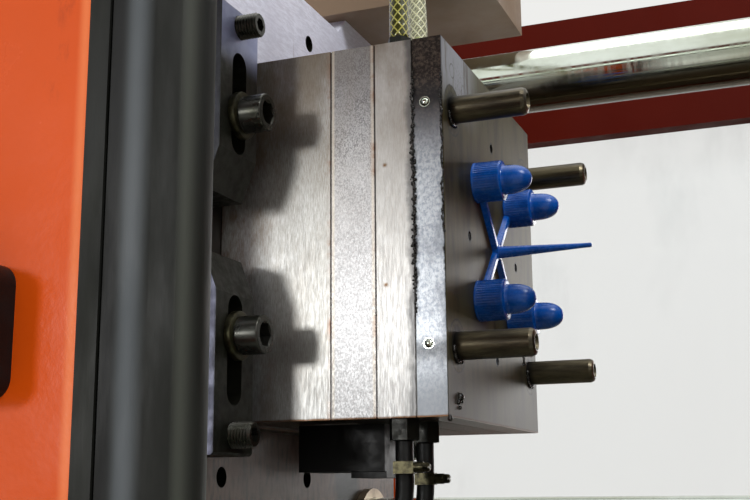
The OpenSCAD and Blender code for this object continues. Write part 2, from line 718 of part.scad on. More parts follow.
module heel_screw(x, l) difference() {
    rod_x(screw_d, [x, x + l], clamp_y, heel_screw_z);
    translate([x + l - heel_socket_depth, clamp_y, heel_screw_z]) rotate([0, 90, 0])
        cylinder(d = heel_socket_d, h = heel_socket_depth + 1, $fn = 6);
}

// The same clamps hold the stationary half, facing the other way
module fixed_clamps() color([0.20, 0.20, 0.21]) translate([fixed_x, 0, 0]) mirror([1, 0, 0]) four_times() {
    clamp_bar(front_plate_t);
    washer(front_plate_t + clamp_t);
    cap_screw(front_plate_t + clamp_t + washer_t, front_plate_t + clamp_t + washer_t + screw_grip);
    heel_screw(0, front_plate_t + clamp_t + 12);
}

module moving_platen() color([0.66, 0.63, 0.68]) difference() {
    union() {
        platen_casting([platen_back, platen_x], bush_body_d);
        mirrored([0, 1, 0]) block([platen_back + 10, platen_x - 10], [slide_y[0], platen_half - 2],
            [slide_z + slide_gap, axis_h - platen_half + 18]);
    }
    rod_x(platen_bore, [platen_back - 1, platen_x + 1], 0, axis_h);
    tapped_holes([platen_x - 45, platen_x + 1]);
    screw_holes([platen_x - 40, platen_x + 1]);
}

module platen_bushings() color([0.72, 0.55, 0.30]) for (p = tie_places) difference() {
    union() {
        rod_x(bush_body_d, [platen_back, platen_x], p[0], p[1]);
        rod_x(bush_collar_d, [platen_x, platen_x + bush_collar_t], p[0], p[1]);
    }
    rod_x(tie_d + 2 * slide_gap, [platen_back - 1, platen_x + bush_collar_t + 1], p[0], p[1]);
}

// Ram, bolted to the back of the moving platen and bored for the ejector cylinder
module clamp_ram() color([0.82, 0.83, 0.84]) difference() {
    union() {
        rod_x(ram_d, [ram_back, platen_back], 0, axis_h);
        rod_x(ram_d + 2 * cylinder_rim, [platen_back - 40, platen_back], 0, axis_h);
        for (a = [15:30:345]) translate([0, 0, axis_h]) rotate([a, 0, 0])
            rod_x(24, [platen_back - 58, platen_back - 39], (ram_d + cylinder_rim) / 2, 0);
    }
    rod_x(ejector_body_d + 50, [ejector_end - 20, platen_back + 1], 0, axis_h);
}

module ejector_cylinder() color([0.30, 0.33, 0.38]) difference() {
    union() {
        rod_x(ejector_body_d, [ejector_end, platen_back], 0, axis_h);
        rod_x(ejector_body_d + 40, [platen_back - 25, platen_back], 0, axis_h);
    }
    rod_x(piston_d + 2 * slide_gap, [piston_x - piston_t - 10, piston_x + eject + 10], 0, axis_h);
    rod_x(ejector_rod_d + 2 * slide_gap, [piston_x, platen_back + 1], 0, axis_h);
}

module rear_clamp_plate() color([0.58, 0.56, 0.54]) {
    difference() {
        plate([platen_x, clamp_plate_x], flange_y, mould_h / 2);
        rod_x(ejector_rod_d + 20, [platen_x - 1, clamp_plate_x + 1], 0, axis_h);
    }
    for (y = [-1, 1], z = [-1, 1])
        rod_x(rest_pad_d, [clamp_plate_x, base_x - slide_gap],
            y * (ejector_w / 2 - 18), axis_h + z * (ejector_h / 2 - 22));
}

module spacer_blocks() color([0.74, 0.72, 0.69]) mirrored([0, 1, 0]) {
    block([clamp_plate_x + edge, spacer_x - edge], [mould_w / 2 - spacer_w, mould_w / 2],
        [axis_h - mould_h / 2, axis_h + mould_h / 2]);
    block([clamp_plate_x, spacer_x], [mould_w / 2 - spacer_w + edge, mould_w / 2 - edge],
        [axis_h - mould_h / 2 + edge, axis_h + mould_h / 2 - edge]);
}

module support_plate() color([0.72, 0.72, 0.71]) difference() {
    plate([spacer_x, support_x], mould_w / 2, mould_h / 2);
    for (p = rod_places) rod_x(rod_hole_d, [spacer_x - 1, support_x + 1], p[0], p[1]);
}

module core_plate() color([0.74, 0.73, 0.71]) difference() {
    plate([support_x, core_x], mould_w / 2, mould_h / 2);
    for (p = rod_places) rod_x(rod_hole_d, [support_x - 1, core_x + 1], p[0], p[1]);
    for (p = pin_places) {
        rod_x(pin_d, [support_x, core_x + 1], p[0], p[1]);
        rod_x(pin_head_d, [support_x - 1, support_x + pin_head_t], p[0], p[1]);
    }
    for (p = cap_places) {
        rod_x(core_d, [support_x, core_x + 1], p[0], p[1]);
        rod_x(core_head_d, [support_x - 1, support_x + core_head_t], p[0], p[1]);
    }
}

// Cores: headed pins that pass through the stripper plate and fill the caps
module core_pins() color([0.78, 0.79, 0.80]) for (p = cap_places) {
    shoulder = parting_x + skirt_h - cap_wall - slide_gap;
    union() {
        rod_x(core_head_d, [support_x, support_x + core_head_t], p[0], p[1]);
        rod_x(core_d, [support_x, shoulder], p[0], p[1]);
        nose([shoulder, parting_x + cap_h - cap_wall - slide_gap], core_nose_d, p);
    }
}

// Guide pins with a head, a rounded end and a recess in the end
module guide_pins() color([0.36, 0.33, 0.27]) for (p = pin_places)
    translate([support_x, p[0], p[1]]) rotate([0, 90, 0]) rotate_extrude()
        polygon([[0, 0], [pin_head_d / 2, 0], [pin_head_d / 2, pin_head_t], [pin_d / 2, pin_head_t],
            [pin_d / 2, pin_l - 4], [pin_d / 2 - 1.2, pin_l - 1.2], [pin_d / 2 - 4, pin_l],
            [pin_d / 2 - 4.6, pin_l], [pin_d / 2 - 6, pin_l - 3], [0, pin_l - 3]]);

module mould_clamps() color([0.23, 0.23, 0.22]) four_times() clamp_bar(clamp_plate_x);
// Thick washers, clamping screws and heel screws of the moving half
module clamp_screws() color([0.20, 0.19, 0.16]) four_times() {
    washer(clamp_plate_x + clamp_t);
    cap_screw(clamp_plate_x + clamp_t + washer_t, clamp_plate_t + clamp_t + washer_t + screw_grip);
    heel_screw(platen_x, clamp_plate_t + clamp_t + 18);
}

module hose_fittings() color([0.16, 0.17, 0.16]) for (y = hose_places) {
    translate([hose_x, y, axis_h + mould_h / 2]) cylinder(d = 20, h = 8, $fn = 6);
    translate([hose_x, y, axis_h - mould_h / 2 - 16]) cylinder(d = 24, h = 16, $fn = 6);
}

// Worm-drive clamps on the rubber hoses: a band, a screw housing and its screw
module hose_clamps() color([0.70, 0.68, 0.52])
    for (n = [0, 1]) translate([hose_x, hose_places[n], clip_z[n]]) hose_clamp();
module hose_clamp() {
    difference() {
        union() {
            cylinder(d = lower_hose_d + 3, h = clip_w);
            translate([-4, -lower_hose_d / 2 - 8, 0]) cube([16, 8, clip_w]);
        }
        translate([0, 0, -1]) cylinder(d = lower_hose_d, h = clip_w + 2);
    }
    translate([12, -lower_hose_d / 2 - 4, clip_w / 2]) rotate([0, 90, 0]) cylinder(d = clip_w - 1, h = 7);
}

module upper_hose_a() color([0.62, 0.60, 0.30]) hose(upper_a, upper_hose_d, [1, 0, 0]);
module upper_hose_b() color([0.72, 0.71, 0.58]) hose(upper_b, upper_hose_d, [1, 0, 0]);
module lower_hose_a() color([0.08, 0.08, 0.08]) hose(lower_a, lower_hose_d, [0, 1, 0]);
module lower_hose_b() color([0.08, 0.08, 0.08]) hose(lower_b, lower_hose_d, [0, 1, 0]);

// Coolant manifolds: a long box on top of the moving platen and a small block on its face
module hose_manifolds() color([0.66, 0.62, 0.56]) {
    lower_z = lower_a[len(lower_a) - 1][2];
    union() {
        block([platen_back, platen_back + manifold_l], [manifold_face, platen_half - 20],
            [axis_h + platen_half, axis_h + platen_half + manifold_h]);
        for (p = [upper_a[len(upper_a) - 1], upper_b[len(upper_b) - 1]])
            rod_y(upper_hose_d + 4, p[0], [p[1], manifold_face + 1], p[2]);
    }
    union() {
        block([platen_x, platen_x + 40], [hose_places[0] - 28, hose_places[1] + 28],
            [lower_z - 25, lower_z + 25]);
        for (p = [lower_a[len(lower_a) - 1], lower_b[len(lower_b) - 1]])
            rod_x(lower_hose_d + 4, [platen_x + 39, p[0]], p[1], p[2]);
    }
}

module switch_block() color([0.05, 0.05, 0.06]) {
    z = axis_h - mould_h / 2;
    union() {
        block([spacer_x - 55, spacer_x + 21], [-80, -25], [z - 38, z]);
        block([spacer_x - 10, spacer_x + 21], [-76, -30], [z - 43, z - 37]);
    }
}

module stripper_plate() color([0.48, 0.48, 0.47]) difference() {
    plate([core_x, parting_x], mould_w / 2, mould_h / 2);
    for (p = pin_places) {
        rod_x(bushing_d, [core_x - 1, parting_x + 1], p[0], p[1]);
        rod_x(bushing_flange_d, [parting_x - bushing_flange_t, parting_x + 1], p[0], p[1]);
    }
    for (p = cap_places) rod_x(core_d + 2 * slide_gap, [core_x - 1, parting_x + 1], p[0], p[1]);
    for (s = [-1, 1]) {
        rod_x(8, [parting_x - 12, parting_x + 1], 0, axis_h + s * pin_pitch_z / 2);
        rod_x(8, [parting_x - 12, parting_x + 1], s * 74, axis_h);
    }
}

module stripper_bushings() color([0.52, 0.50, 0.44]) for (p = pin_places) difference() {
    union() {
        rod_x(bushing_d, [core_x, parting_x], p[0], p[1]);
        rod_x(bushing_flange_d, [parting_x - bushing_flange_t, parting_x], p[0], p[1]);
    }
    rod_x(pin_d + 2 * slide_gap, [core_x - 1, parting_x + 1], p[0], p[1]);
}

module push_rods() color([0.62, 0.62, 0.62]) for (p = rod_places) {
    rod_x(rod_head_d, [retainer_x, retainer_x + rod_head_t], p[0], p[1]);
    rod_x(rod_d, [retainer_x, core_x], p[0], p[1]);
}

module ejector_retainer_plate() color([0.62, 0.61, 0.60]) difference() {
    block([retainer_x, retainer_end], [-ejector_w / 2, ejector_w / 2],
        [axis_h - ejector_h / 2, axis_h + ejector_h / 2]);
    for (p = rod_places) {
        rod_x(rod_d, [retainer_x, retainer_end + 1], p[0], p[1]);
        rod_x(rod_head_d, [retainer_x - 1, retainer_x + rod_head_t], p[0], p[1]);
    }
}

// Ejector base plate with the central rod and the piston that drives it
module ejector_base_plate() color([0.58, 0.57, 0.56]) {
    block([base_x, retainer_x], [-ejector_w / 2, ejector_w / 2],
        [axis_h - ejector_h / 2, axis_h + ejector_h / 2]);
    rod_x(ejector_rod_d, [piston_x - piston_t, base_x], 0, axis_h);
    rod_x(piston_d, [piston_x - piston_t, piston_x], 0, axis_h);
}

// One shot as it leaves the mould: four caps with ribbed skirts, the runner cross and the sprue
module cap(p) difference() {
    union() {
        translate([0, p[0], p[1]]) along_x([parting_x, parting_x + skirt_h])
            polygon([for (k = [0:2 * ribs - 1])
                (skirt_d / 2 - (k % 2) * rib_depth) * [cos(180 * k / ribs), sin(180 * k / ribs)]]);
        nose([parting_x + skirt_h - 1, parting_x + cap_h], nose_d, p);
    }
    rod_x(skirt_d - 2 * cap_wall, [parting_x - 1, parting_x + skirt_h - cap_wall], p[0], p[1]);
    nose([parting_x + skirt_h - cap_wall - 0.1, parting_x + cap_h - cap_wall], nose_d - 2 * cap_wall, p);
}
module moulded_shot() color([0.04, 0.24, 0.72]) union() {
    for (p = cap_places) cap(p);
    difference() {
        runner([parting_x, parting_x + runner_t], 0);
        for (p = cap_places) rod_x(skirt_d - 1, [parting_x - 1, parting_x + runner_t + 1], p[0], p[1]);
    }
    cone_x([sprue_d, sprue_tip_d], [parting_x, parting_x + sprue_l], 0, axis_h);
}

// A sliding door's frame: four members round a window seated in a rebate
module door_frame(x, y, z, wx) difference() {
    block(x, y, z);
    block(wx, [y[0] - 1, y[1] + 1], [window_z0, window_z1]);
    block([wx[0] - 12, wx[1] + 12], [y[0] - 1, y[0] + 14], [window_z0 - 12, window_z1 + 12]);
}
module window_pane(wx, y)
    block([wx[0] - pane_lap, wx[1] + pane_lap], [y, y + window_t],
        [window_z0 - pane_lap, window_z1 + pane_lap]);

module operator_door() color([0.89, 0.36, 0.15]) mirror([0, 1, 0])
    door_frame([door_edge_x - door_w, door_edge_x], [door_y, door_y + door_t], [door_z0, door_z1],
        door_window_x);
module door_window() color([0.80, 0.88, 0.90, 0.35]) mirror([0, 1, 0])
    window_pane(door_window_x, door_y + 14 - window_t);

// Rubber edge of the operator door: a flat fixing strip, a groove and a hollow bulb
module door_seal() color([0.11, 0.11, 0.10]) translate([door_edge_x, -door_y - door_t, door_z0 + 5])
    linear_extrude(door_z1 - door_z0 - 10) difference() {
        union() {
            square([10, door_t - 4]);
            translate([8, 3]) square([6, door_t - 10]);
            translate([11, 1]) square([22, door_t - 6]);
            translate([seal_w - 18, 0]) intersection() {
                square([18, door_t - 4]);
                translate([0, (door_t - 4) / 2]) circle(d = 2 * 18);
            }
        }
        translate([22, (door_t - 4) / 2]) circle(d = 11);
    }

// Cup handle of the operator door: a moulded block with a finger pocket open to the left
module door_handle() color([0.05, 0.05, 0.05]) {
    x1 = door_edge_x - handle_inset;
    y1 = -door_y - door_t;
    difference() {
        translate([x1 - handle_l, y1, handle_z]) rotate([90, 0, 0])
            linear_extrude(bed_w / 2 + y1) union() {
            translate([0, handle_r]) square([handle_l, handle_h - 2 * handle_r]);
            translate([handle_r, 0]) square([handle_l - 2 * handle_r, handle_h]);
            for (u = [handle_r, handle_l - handle_r], v = [handle_r, handle_h - handle_r])
                translate([u, v]) circle(handle_r);
        }
        block([x1 - handle_l - 1, x1 - 14], [y1 - 18, y1 + 1],
            [handle_z + handle_r, handle_z + handle_h - handle_r]);
    }
}

module rear_door() color([0.89, 0.36, 0.15]) {
    door_frame([rear_door_x, rear_door_x + rear_door_w], [door_y, door_y + door_t], [door_z0, door_z1],
        rear_window_x);
    difference() {
        block([bow_x, bow_x + bow_w], [door_y + door_t, bed_w / 2], [bow_z, bow_z + bow_h]);
        block([bow_x - 1, bow_x + bow_w + 1], [door_y + door_t - 1, bed_w / 2 - 10],
            [bow_z + bow_leg, bow_z + bow_h - bow_leg]);
    }
}
module rear_window() color([0.80, 0.88, 0.90, 0.35]) window_pane(rear_window_x, door_y + 14 - window_t);

// Injection carriage: the housing that holds the barrel and the feed throat
module injection_housing() color([0.86, 0.85, 0.82]) difference() {
    union() {
        block([housing_x - 30, housing_back + 30], [-rail_y - 60, rail_y + 60],
            [carriage_z, carriage_z + saddle_t]);
        block([housing_x + 10, housing_back - 10], [-neck_half, neck_half],
            [carriage_z + saddle_t - 1, axis_h - throat_h + 10]);
        block([housing_x, housing_back], [-inj_y - 60, inj_y + 60],
            [axis_h - throat_h, axis_h + throat_h / 2]);
        block([housing_x + 10, housing_back - 10], [-housing_half, housing_half],
            [axis_h + throat_h / 2 - 1, hopper_z]);
    }
    rod_x(barrel_d, [housing_x - 1, housing_back + 1], 0, axis_h);
    rod_z(throat_d, throat_x, 0, [axis_h, hopper_z + 1]);
}

module barrel() color([0.55, 0.55, 0.56]) difference() {
    rod_x(barrel_d, [barrel_x, housing_back], 0, axis_h);
    rod_x(screw_core_d + 2 * slide_gap, [barrel_x + 15, housing_back + 1], 0, axis_h);
    rod_x(12, [barrel_x - 1, barrel_x + 16], 0, axis_h);
    rod_z(40, throat_x, 0, [axis_h, axis_h + barrel_d]);
}

// Heater bands, each with a terminal box on top
module heater_bands() color([0.72, 0.70, 0.66]) for (k = [0:bands - 1]) {
    x = barrel_x + 35 + band_pitch * k;
    difference() {
        union() {
            rod_x(barrel_d + 16, [x, x + band_w], 0, axis_h);
            block([x + band_w / 4, x + band_w * 3 / 4], [-20, 20],
                [axis_h + barrel_d / 2, axis_h + barrel_d / 2 + 36]);
        }
        rod_x(barrel_d, [x - 1, x + band_w + 1], 0, axis_h);
    }
}

module nozzle() color([0.50, 0.48, 0.45]) difference() {
    translate([nozzle_tip_x, 0, axis_h]) rotate([0, 90, 0]) rotate_extrude()
        polygon([[2, slide_gap], [seat_d[0] / 2, slide_gap + 1], [24, 26], [24, nozzle_l - 30],
            [50, nozzle_l - 30], [50, nozzle_l], [4, nozzle_l], [4, 20], [2, 12]]);
}

// Hopper: a flange, a thin-walled cone and a cylinder, with ears for the lid's hinge pin
module hopper() color([0.78, 0.79, 0.80]) {
    r = hopper_d / 2;
    difference() {
        union() {
            translate([throat_x, 0, 0]) rotate_extrude()
                polygon([[throat_d / 2, hopper_z], [70, hopper_z], [70, hopper_z + 12], [42, hopper_z + 12],
                    [r, cone_z], [r, rim_z], [r - 3, rim_z], [r - 3, cone_z + 1],
                    [throat_d / 2, hopper_z + 3]]);
            for (s = [-1, 1]) translate([throat_x, 0, 0]) {
                block([s * 27 - 6, s * 27 + 6], [r - 4, hinge_y + 9], [rim_z - 30, rim_z - 4]);
                block([s * 27 - 6, s * 27 + 6], [r + 7, hinge_y + 9], [rim_z - 30, hinge_z + 9]);
            }
        }
        translate([throat_x, 0, cone_z]) cylinder(r = r - 3, h = rim_z - cone_z + 20);
    }
    rod_x(hinge_pin_d, [throat_x - 33, throat_x + 33], hinge_y, hinge_z);
}
module hopper_lid() color([0.30, 0.32, 0.34]) difference() {
    union() {
        rod_z(hopper_d + 8, throat_x, 0, [rim_z + slide_gap, rim_z + slide_gap + 4]);
        rod_z(50, throat_x, 0, [rim_z + slide_gap + 3, rim_z + slide_gap + 14]);
        rod_x(18, [throat_x - 20, throat_x + 20], hinge_y, hinge_z);
        block([throat_x - 20, throat_x + 20], [hopper_d / 2 - 10, hinge_y],
            [rim_z + slide_gap, rim_z + slide_gap + 6]);
    }
    rod_x(hinge_pin_d + 2 * slide_gap, [throat_x - 21, throat_x + 21], hinge_y, hinge_z);
}

// Hydraulic cylinders of the carriage: two that pull the nozzle on, two that drive the screw forward
module hydraulic_cylinder(x, p, d, rod, chamber) difference() {
    rod_x(d, x, p[0], p[1]);
    rod_x(rod + 2 * slide_gap, [x[0] - 1, x[1] + 1], p[0], p[1]);
    rod_x(chamber, [x[0] + 25, x[1] - 25], p[0], p[1]);
}
module hydraulic_cylinders() color([0.28, 0.31, 0.36]) for (s = [-1, 1]) {
    hydraulic_cylinder([housing_x - pull_body_l, housing_x], [s * pull_y, pull_z],
        pull_body_d, pull_rod_d, pull_bore);
    hydraulic_cylinder([housing_back, housing_back + inj_body_l], [s * inj_y, axis_h],
        inj_body_d, inj_rod_d, inj_bore);
}

// Plasticising screw: a core with one helical flight and a pointed tip
module screw() color([0.75, 0.75, 0.76]) translate([0, 0, axis_h]) rotate([0, 90, 0]) {
    translate([0, 0, flight_x]) linear_extrude(height = flight_l, twist = -360 * flight_l / screw_core_d,
        slices = floor(flight_l / 4.5), segments = 4) translate([8, -3]) square([screw_core_d / 2 - 8, 6]);
    translate([0, 0, flight_x - 1]) cylinder(d = screw_shaft_d, h = drive_x + 38 - flight_x);
    translate([0, 0, flight_x - 40]) cylinder(d1 = 6, d2 = screw_shaft_d, h = 41, $fn = 16);
}

// Drive plate of the screw, with its piston rods and the hydraulic motor behind it
module drive_plate() color([0.34, 0.37, 0.42]) difference() {
    union() {
        block([drive_x, drive_x + drive_t], [-inj_y - 50, inj_y + 50], [axis_h - 80, axis_h + 80]);
        rod_x(motor_d + 40, [drive_x + drive_t - 1, motor_x], 0, axis_h);
        rod_x(motor_d, [motor_x - 1, motor_x + motor_l], 0, axis_h);
        rod_z(46, motor_x + motor_l / 2 - 10, 0, [axis_h, axis_h + motor_d / 2 + 22]);
        for (s = [-1, 1]) rod_x(inj_rod_d, [housing_back + 20, drive_x + 1], s * inj_y, axis_h);
    }
    rod_x(screw_shaft_d + 2 * slide_gap, [drive_x - 1, drive_x + 40], 0, axis_h);
}

module e_stop() color([0.75, 0.05, 0.05]) {
    y0 = -bed_w / 2;
    translate([stop_x, y0, stop_z]) rotate([-90, 0, 0]) rotate_extrude()
        polygon([[0, 0], [14, 0], [19, 3], [20, 6], [19, 9], [stop_stem_d / 2, 9],
            [stop_stem_d / 2, 34], [0, 34]]);
}

module main_switch() color([0.70, 0.05, 0.05]) {
    y0 = -bed_w / 2;
    rod_y(48, switch_x, [y0 + 7, y0 + 15], switch_z);
    block([switch_x - 7, switch_x + 7], [y0, y0 + 8], [switch_z - 21, switch_z + 21]);
    rod_y(switch_shaft_d, switch_x, [y0 + 14, y0 + 45], switch_z);
}

bed_frame();
levelling_pads();
bed_panels();
stationary_platen();
cylinder_platen();
tie_bars();
tie_bar_nuts();
clamp_cylinder();
fixed_guards();
guard_window();
guard_headers();
carriage_rails();
control_panel();
cavity_plate();
front_clamp_plate();
sprue_bushing();
fixed_clamps();
moving_platen();
platen_bushings();
clamp_ram();
ejector_cylinder();
rear_clamp_plate();
spacer_blocks();
support_plate();
core_plate();
core_pins();
guide_pins();
mould_clamps();
clamp_screws();
hose_fittings();
hose_clamps();
upper_hose_a();
upper_hose_b();
lower_hose_a();
lower_hose_b();
hose_manifolds();
switch_block();
stripper_plate();
stripper_bushings();
push_rods();
ejector_retainer_plate();
ejector_base_plate();
moulded_shot();
operator_door();
door_window();
door_seal();
door_handle();
rear_door();
rear_window();
injection_housing();
barrel();
heater_bands();
nozzle();
hopper();
hopper_lid();
hydraulic_cylinders();
screw();
drive_plate();
e_stop();
main_switch();
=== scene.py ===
# %% [markdown]
# # An injection moulding machine, dressed around its CAD frame
#
# The frame holds every solid of the machine in metres, standing on the floor with +X towards the
# hopper and +Z up. This file adds what solids can't show: light, camera, paint, ground and oiled
# steel, rust at the joints, braided hoses, threads, gaskets and many small screws.

# %% Load the frame
import math
import random

import bmesh
import bpy
from mathutils import Matrix, Vector


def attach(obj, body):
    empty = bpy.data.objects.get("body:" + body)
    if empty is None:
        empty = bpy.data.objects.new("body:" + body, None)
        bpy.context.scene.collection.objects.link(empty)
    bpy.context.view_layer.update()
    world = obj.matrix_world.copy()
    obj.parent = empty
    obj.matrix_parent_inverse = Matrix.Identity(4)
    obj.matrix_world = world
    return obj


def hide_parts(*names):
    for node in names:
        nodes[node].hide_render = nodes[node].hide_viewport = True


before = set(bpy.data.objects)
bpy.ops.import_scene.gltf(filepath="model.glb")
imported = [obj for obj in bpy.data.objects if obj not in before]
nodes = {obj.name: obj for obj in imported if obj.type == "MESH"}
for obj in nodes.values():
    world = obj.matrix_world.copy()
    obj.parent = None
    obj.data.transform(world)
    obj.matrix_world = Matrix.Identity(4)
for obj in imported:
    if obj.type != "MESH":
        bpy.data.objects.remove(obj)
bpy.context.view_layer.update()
MM = 0.001

# %% [markdown]
# ## Camera
# The photograph looks in through the open door from the front right, slightly upwards. A camera
# could be turned by angles, but its three axes are clearer: right, up and backwards are the columns
# of its matrix, worked out from yaw, pitch and roll.

# %% Camera
YAW, PITCH, ROLL = math.radians(21.338), math.radians(11.95), math.radians(-0.459)
forward = Vector((-math.sin(YAW) * math.cos(PITCH), math.cos(YAW) * math.cos(PITCH), math.sin(PITCH)))
level_right = Vector((math.cos(YAW), math.sin(YAW), 0))
level_up = level_right.cross(forward)
right = level_right * math.cos(ROLL) + level_up * math.sin(ROLL)
up = level_up * math.cos(ROLL) - level_right * math.sin(ROLL)

camera_data = bpy.data.cameras.new("door_view")
camera_data.sensor_width = 36
camera_data.lens = 55.14
camera_data.clip_start = 0.02
camera = bpy.data.objects.new("door_view", camera_data)
bpy.context.scene.collection.objects.link(camera)
camera.matrix_world = Matrix((right, up, -forward)).transposed().to_4x4()
camera.location = (-0.1387, -0.9562, 0.9949)
bpy.context.scene.camera = camera

# %% [markdown]
# ## Hoses
# Two braided hoses leave the top of the mould and two rubber ones its underside. A hose is a free
# length that bends in wide curves. A curve with a bevel would do, but the braid has to follow the
# hose, so each is a tube of rings along a smooth line, with a UV map that runs along and around it.

# %% Routes of the hoses, in millimetres on their middle lines
UPPER_A = [(-441, -124, 1358), (-441, -124, 1384), (-441, -124, 1410), (-442, -124, 1438), (-443, -121, 1466),
           (-445, -114, 1494), (-447, -100, 1521), (-450, -79, 1543), (-453, -51, 1559), (-456, -19, 1566),
           (-459, 15, 1568), (-462, 50, 1568), (-464, 84, 1567), (-466, 118, 1567), (-466, 150, 1567)]
UPPER_B = [(-441, -76, 1358), (-441, -76, 1386), (-442, -76, 1414), (-443, -75, 1442), (-446, -71, 1470),
           (-450, -62, 1498), (-457, -47, 1523), (-464, -26, 1543), (-472, 0, 1557), (-479, 28, 1566),
           (-487, 56, 1568), (-493, 84, 1568), (-497, 108, 1567), (-500, 130, 1567), (-500, 150, 1567)]
LOWER = [(-441, 1034), (-441, 1023), (-441, 1012), (-441, 1001), (-442, 989), (-444, 977), (-448, 965),
         (-455, 954), (-464, 944), (-475, 936), (-487, 930), (-500, 926), (-516, 925), (-541, 925),
         (-565, 925)]
LOWER_A = [(x, -124, z) for x, z in LOWER]
LOWER_B = [(x, -76, z) for x, z in LOWER]


# %% A tube along a route
def smooth_line(points, steps=8):
    """Points on a Catmull-Rom curve through the route, in metres."""
    p = [Vector(q) * MM for q in points]
    p = [2 * p[0] - p[1]] + p + [2 * p[-1] - p[-2]]
    line = []
    for a, b, c, d in zip(p, p[1:], p[2:], p[3:]):
        for k in range(steps):
            t = k / steps
            line.append(0.5 * (2 * b + (c - a) * t + (2 * a - 5 * b + 4 * c - d) * t * t
                               + (3 * b - a - 3 * c + d) * t ** 3))
    return line + [p[-2]]


def hose_tube(name, points, diameter, sides=20):
    """A closed tube of rings along the route, with U around it and V along it in metres."""
    line = smooth_line(points)
    verts, rings, along = [], [], [0.0]
    side = Vector((1, 0, 0)) if abs((line[1] - line[0]).normalized().x) < 0.9 else Vector((0, 1, 0))
    for i, q in enumerate(line):
        if i:
            along.append(along[-1] + (q - line[i - 1]).length)
        heading = (line[min(i + 1, len(line) - 1)] - line[max(i - 1, 0)]).normalized()
        side = (side - heading * side.dot(heading)).normalized()
        other = heading.cross(side)
        rings.append(len(verts))
        for k in range(sides):
            turn = 2 * math.pi * k / sides
            verts.append(q + (side * math.cos(turn) + other * math.sin(turn)) * diameter / 2)
    faces, uvs = [], []
    for i in range(len(line) - 1):
        for k in range(sides):
            a, b = rings[i] + k, rings[i] + (k + 1) % sides
            faces.append((a, b, b + sides, a + sides))
            uvs += [(k / sides, along[i]), ((k + 1) / sides, along[i]),
                    ((k + 1) / sides, along[i + 1]), (k / sides, along[i + 1])]
    faces += [tuple(range(sides))[::-1], tuple(range(rings[-1], rings[-1] + sides))]
    uvs += [(0, 0)] * sides + [(0, along[-1])] * sides
    mesh = bpy.data.meshes.new(name)
    mesh.from_pydata(verts, [], faces)
    layer = mesh.uv_layers.new(name="along_hose")
    for loop, uv in zip(layer.data, uvs):
        loop.uv = uv
    for face in mesh.polygons[:-2]:
        face.use_smooth = True
    hose = bpy.data.objects.new(name, mesh)
    bpy.context.scene.collection.objects.link(hose)
    return hose, line, along[-1]


# %% The four hoses
hoses = {}
for node, points, diameter, lay in (("upper_hose_a", UPPER_A, 0.016, "hanging"),
                                    ("upper_hose_b", UPPER_B, 0.016, "hanging"),
                                    ("lower_hose_a", LOWER_A, 0.014, "taut"),
                                    ("lower_hose_b", LOWER_B, 0.014, "taut")):
    hose, line, length = hose_tube(node + "_tube", points, diameter)
    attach(hose, "moving_unit")
    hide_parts(node)
    hoses[node] = hose
    print(node, "is", round(length, 3), "m long")

# %% [markdown]
# ## How the finishes are made
# Real metal and paint are never one flat colour: grinding leaves fine lines, oil and rust gather at
# joints, paint has a slight orange peel. Image textures could show that, but they need files and
# unwrapping. Noise and distances in Object coordinates do it anywhere on a piece and never slide.
# A finish is begun by name, and the helpers below add to the one that was begun last.

# %% Helpers for finishes
AXIS_Z = 1.2


def srgb(r, g, b):
    """A screen colour, 0 to 255, as the linear values that shaders use."""
    return tuple(((c / 255 + 0.055) / 1.055) ** 2.4 if c > 10 else c / 255 / 12.92 for c in (r, g, b))


def new_finish(name, colour, metallic=0.0, roughness=0.5, shine=0.5, **more):
    """Begins a material with one Principled shader; what varies over the surface is linked later."""
    global finish
    finish = bpy.data.materials.new(name)
    finish.use_nodes = True
    for key, value in {"Base_Color": (*colour, 1), "Metallic": metallic, "Roughness": roughness,
                       "Specular_IOR_Level": shine, **more}.items():
        finish.node_tree.nodes["Principled BSDF"].inputs[key.replace("_", " ")].default_value = value
    finish.diffuse_color = (*colour, 1)
    return finish


def step(kind, inputs=None, **settings):
    """Adds one shader node; an input is a value or another node's output."""
    made = finish.node_tree.nodes.new("ShaderNode" + kind)
    for key, value in settings.items():
        setattr(made, key, value)
    for key, value in (inputs or {}).items():
        if isinstance(value, bpy.types.NodeSocket):
            finish.node_tree.links.new(value, made.inputs[key])
        else:
            made.inputs[key].default_value = value
    return made


def place(stretch=(1, 1, 1), source="Object"):
    """Coordinates of the surface, stretched along its axes."""
    return step("Mapping", {"Vector": step("TexCoord").outputs[source], "Scale": stretch}).outputs["Vector"]


def noise(size, stretch=(1, 1, 1), detail=4.0, rough=0.6, twist=0.0):
    """Noise whose spots are about size metres across before stretching."""
    return step("TexNoise", {"Vector": place(stretch), "Scale": 1 / size, "Detail": detail,
                             "Roughness": rough, "Distortion": twist}).outputs["Fac"]


def ease(value, start, end, low=0.0, high=1.0):
    """Smoothly turns a value between start and end into one between low and high."""
    return step("MapRange", {"Value": value, "From Min": start, "From Max": end, "To Min": low,
                             "To Max": high}, interpolation_type="SMOOTHSTEP").outputs["Result"]


def maths(what, a, b=0.0):
    return step("Math", {0: a, 1: b}, operation=what).outputs["Value"]


def times(first, *others):
    """The product of two or more values."""
    for value in others:
        first = maths("MULTIPLY", first, value)
    return first


def axis(letter):
    """One Object coordinate of the surface, in metres."""
    return step("SeparateXYZ", {"Vector": place()}).outputs[letter]


def facing(letter):
    """How far the surface points along an axis, -1 to 1."""
    return step("SeparateXYZ", {"Vector": step("NewGeometry").outputs["Normal"]}).outputs[letter]


def apart(letter, where):
    """Distance from a plane across an axis."""
    return maths("ABSOLUTE", maths("SUBTRACT", axis(letter), where))


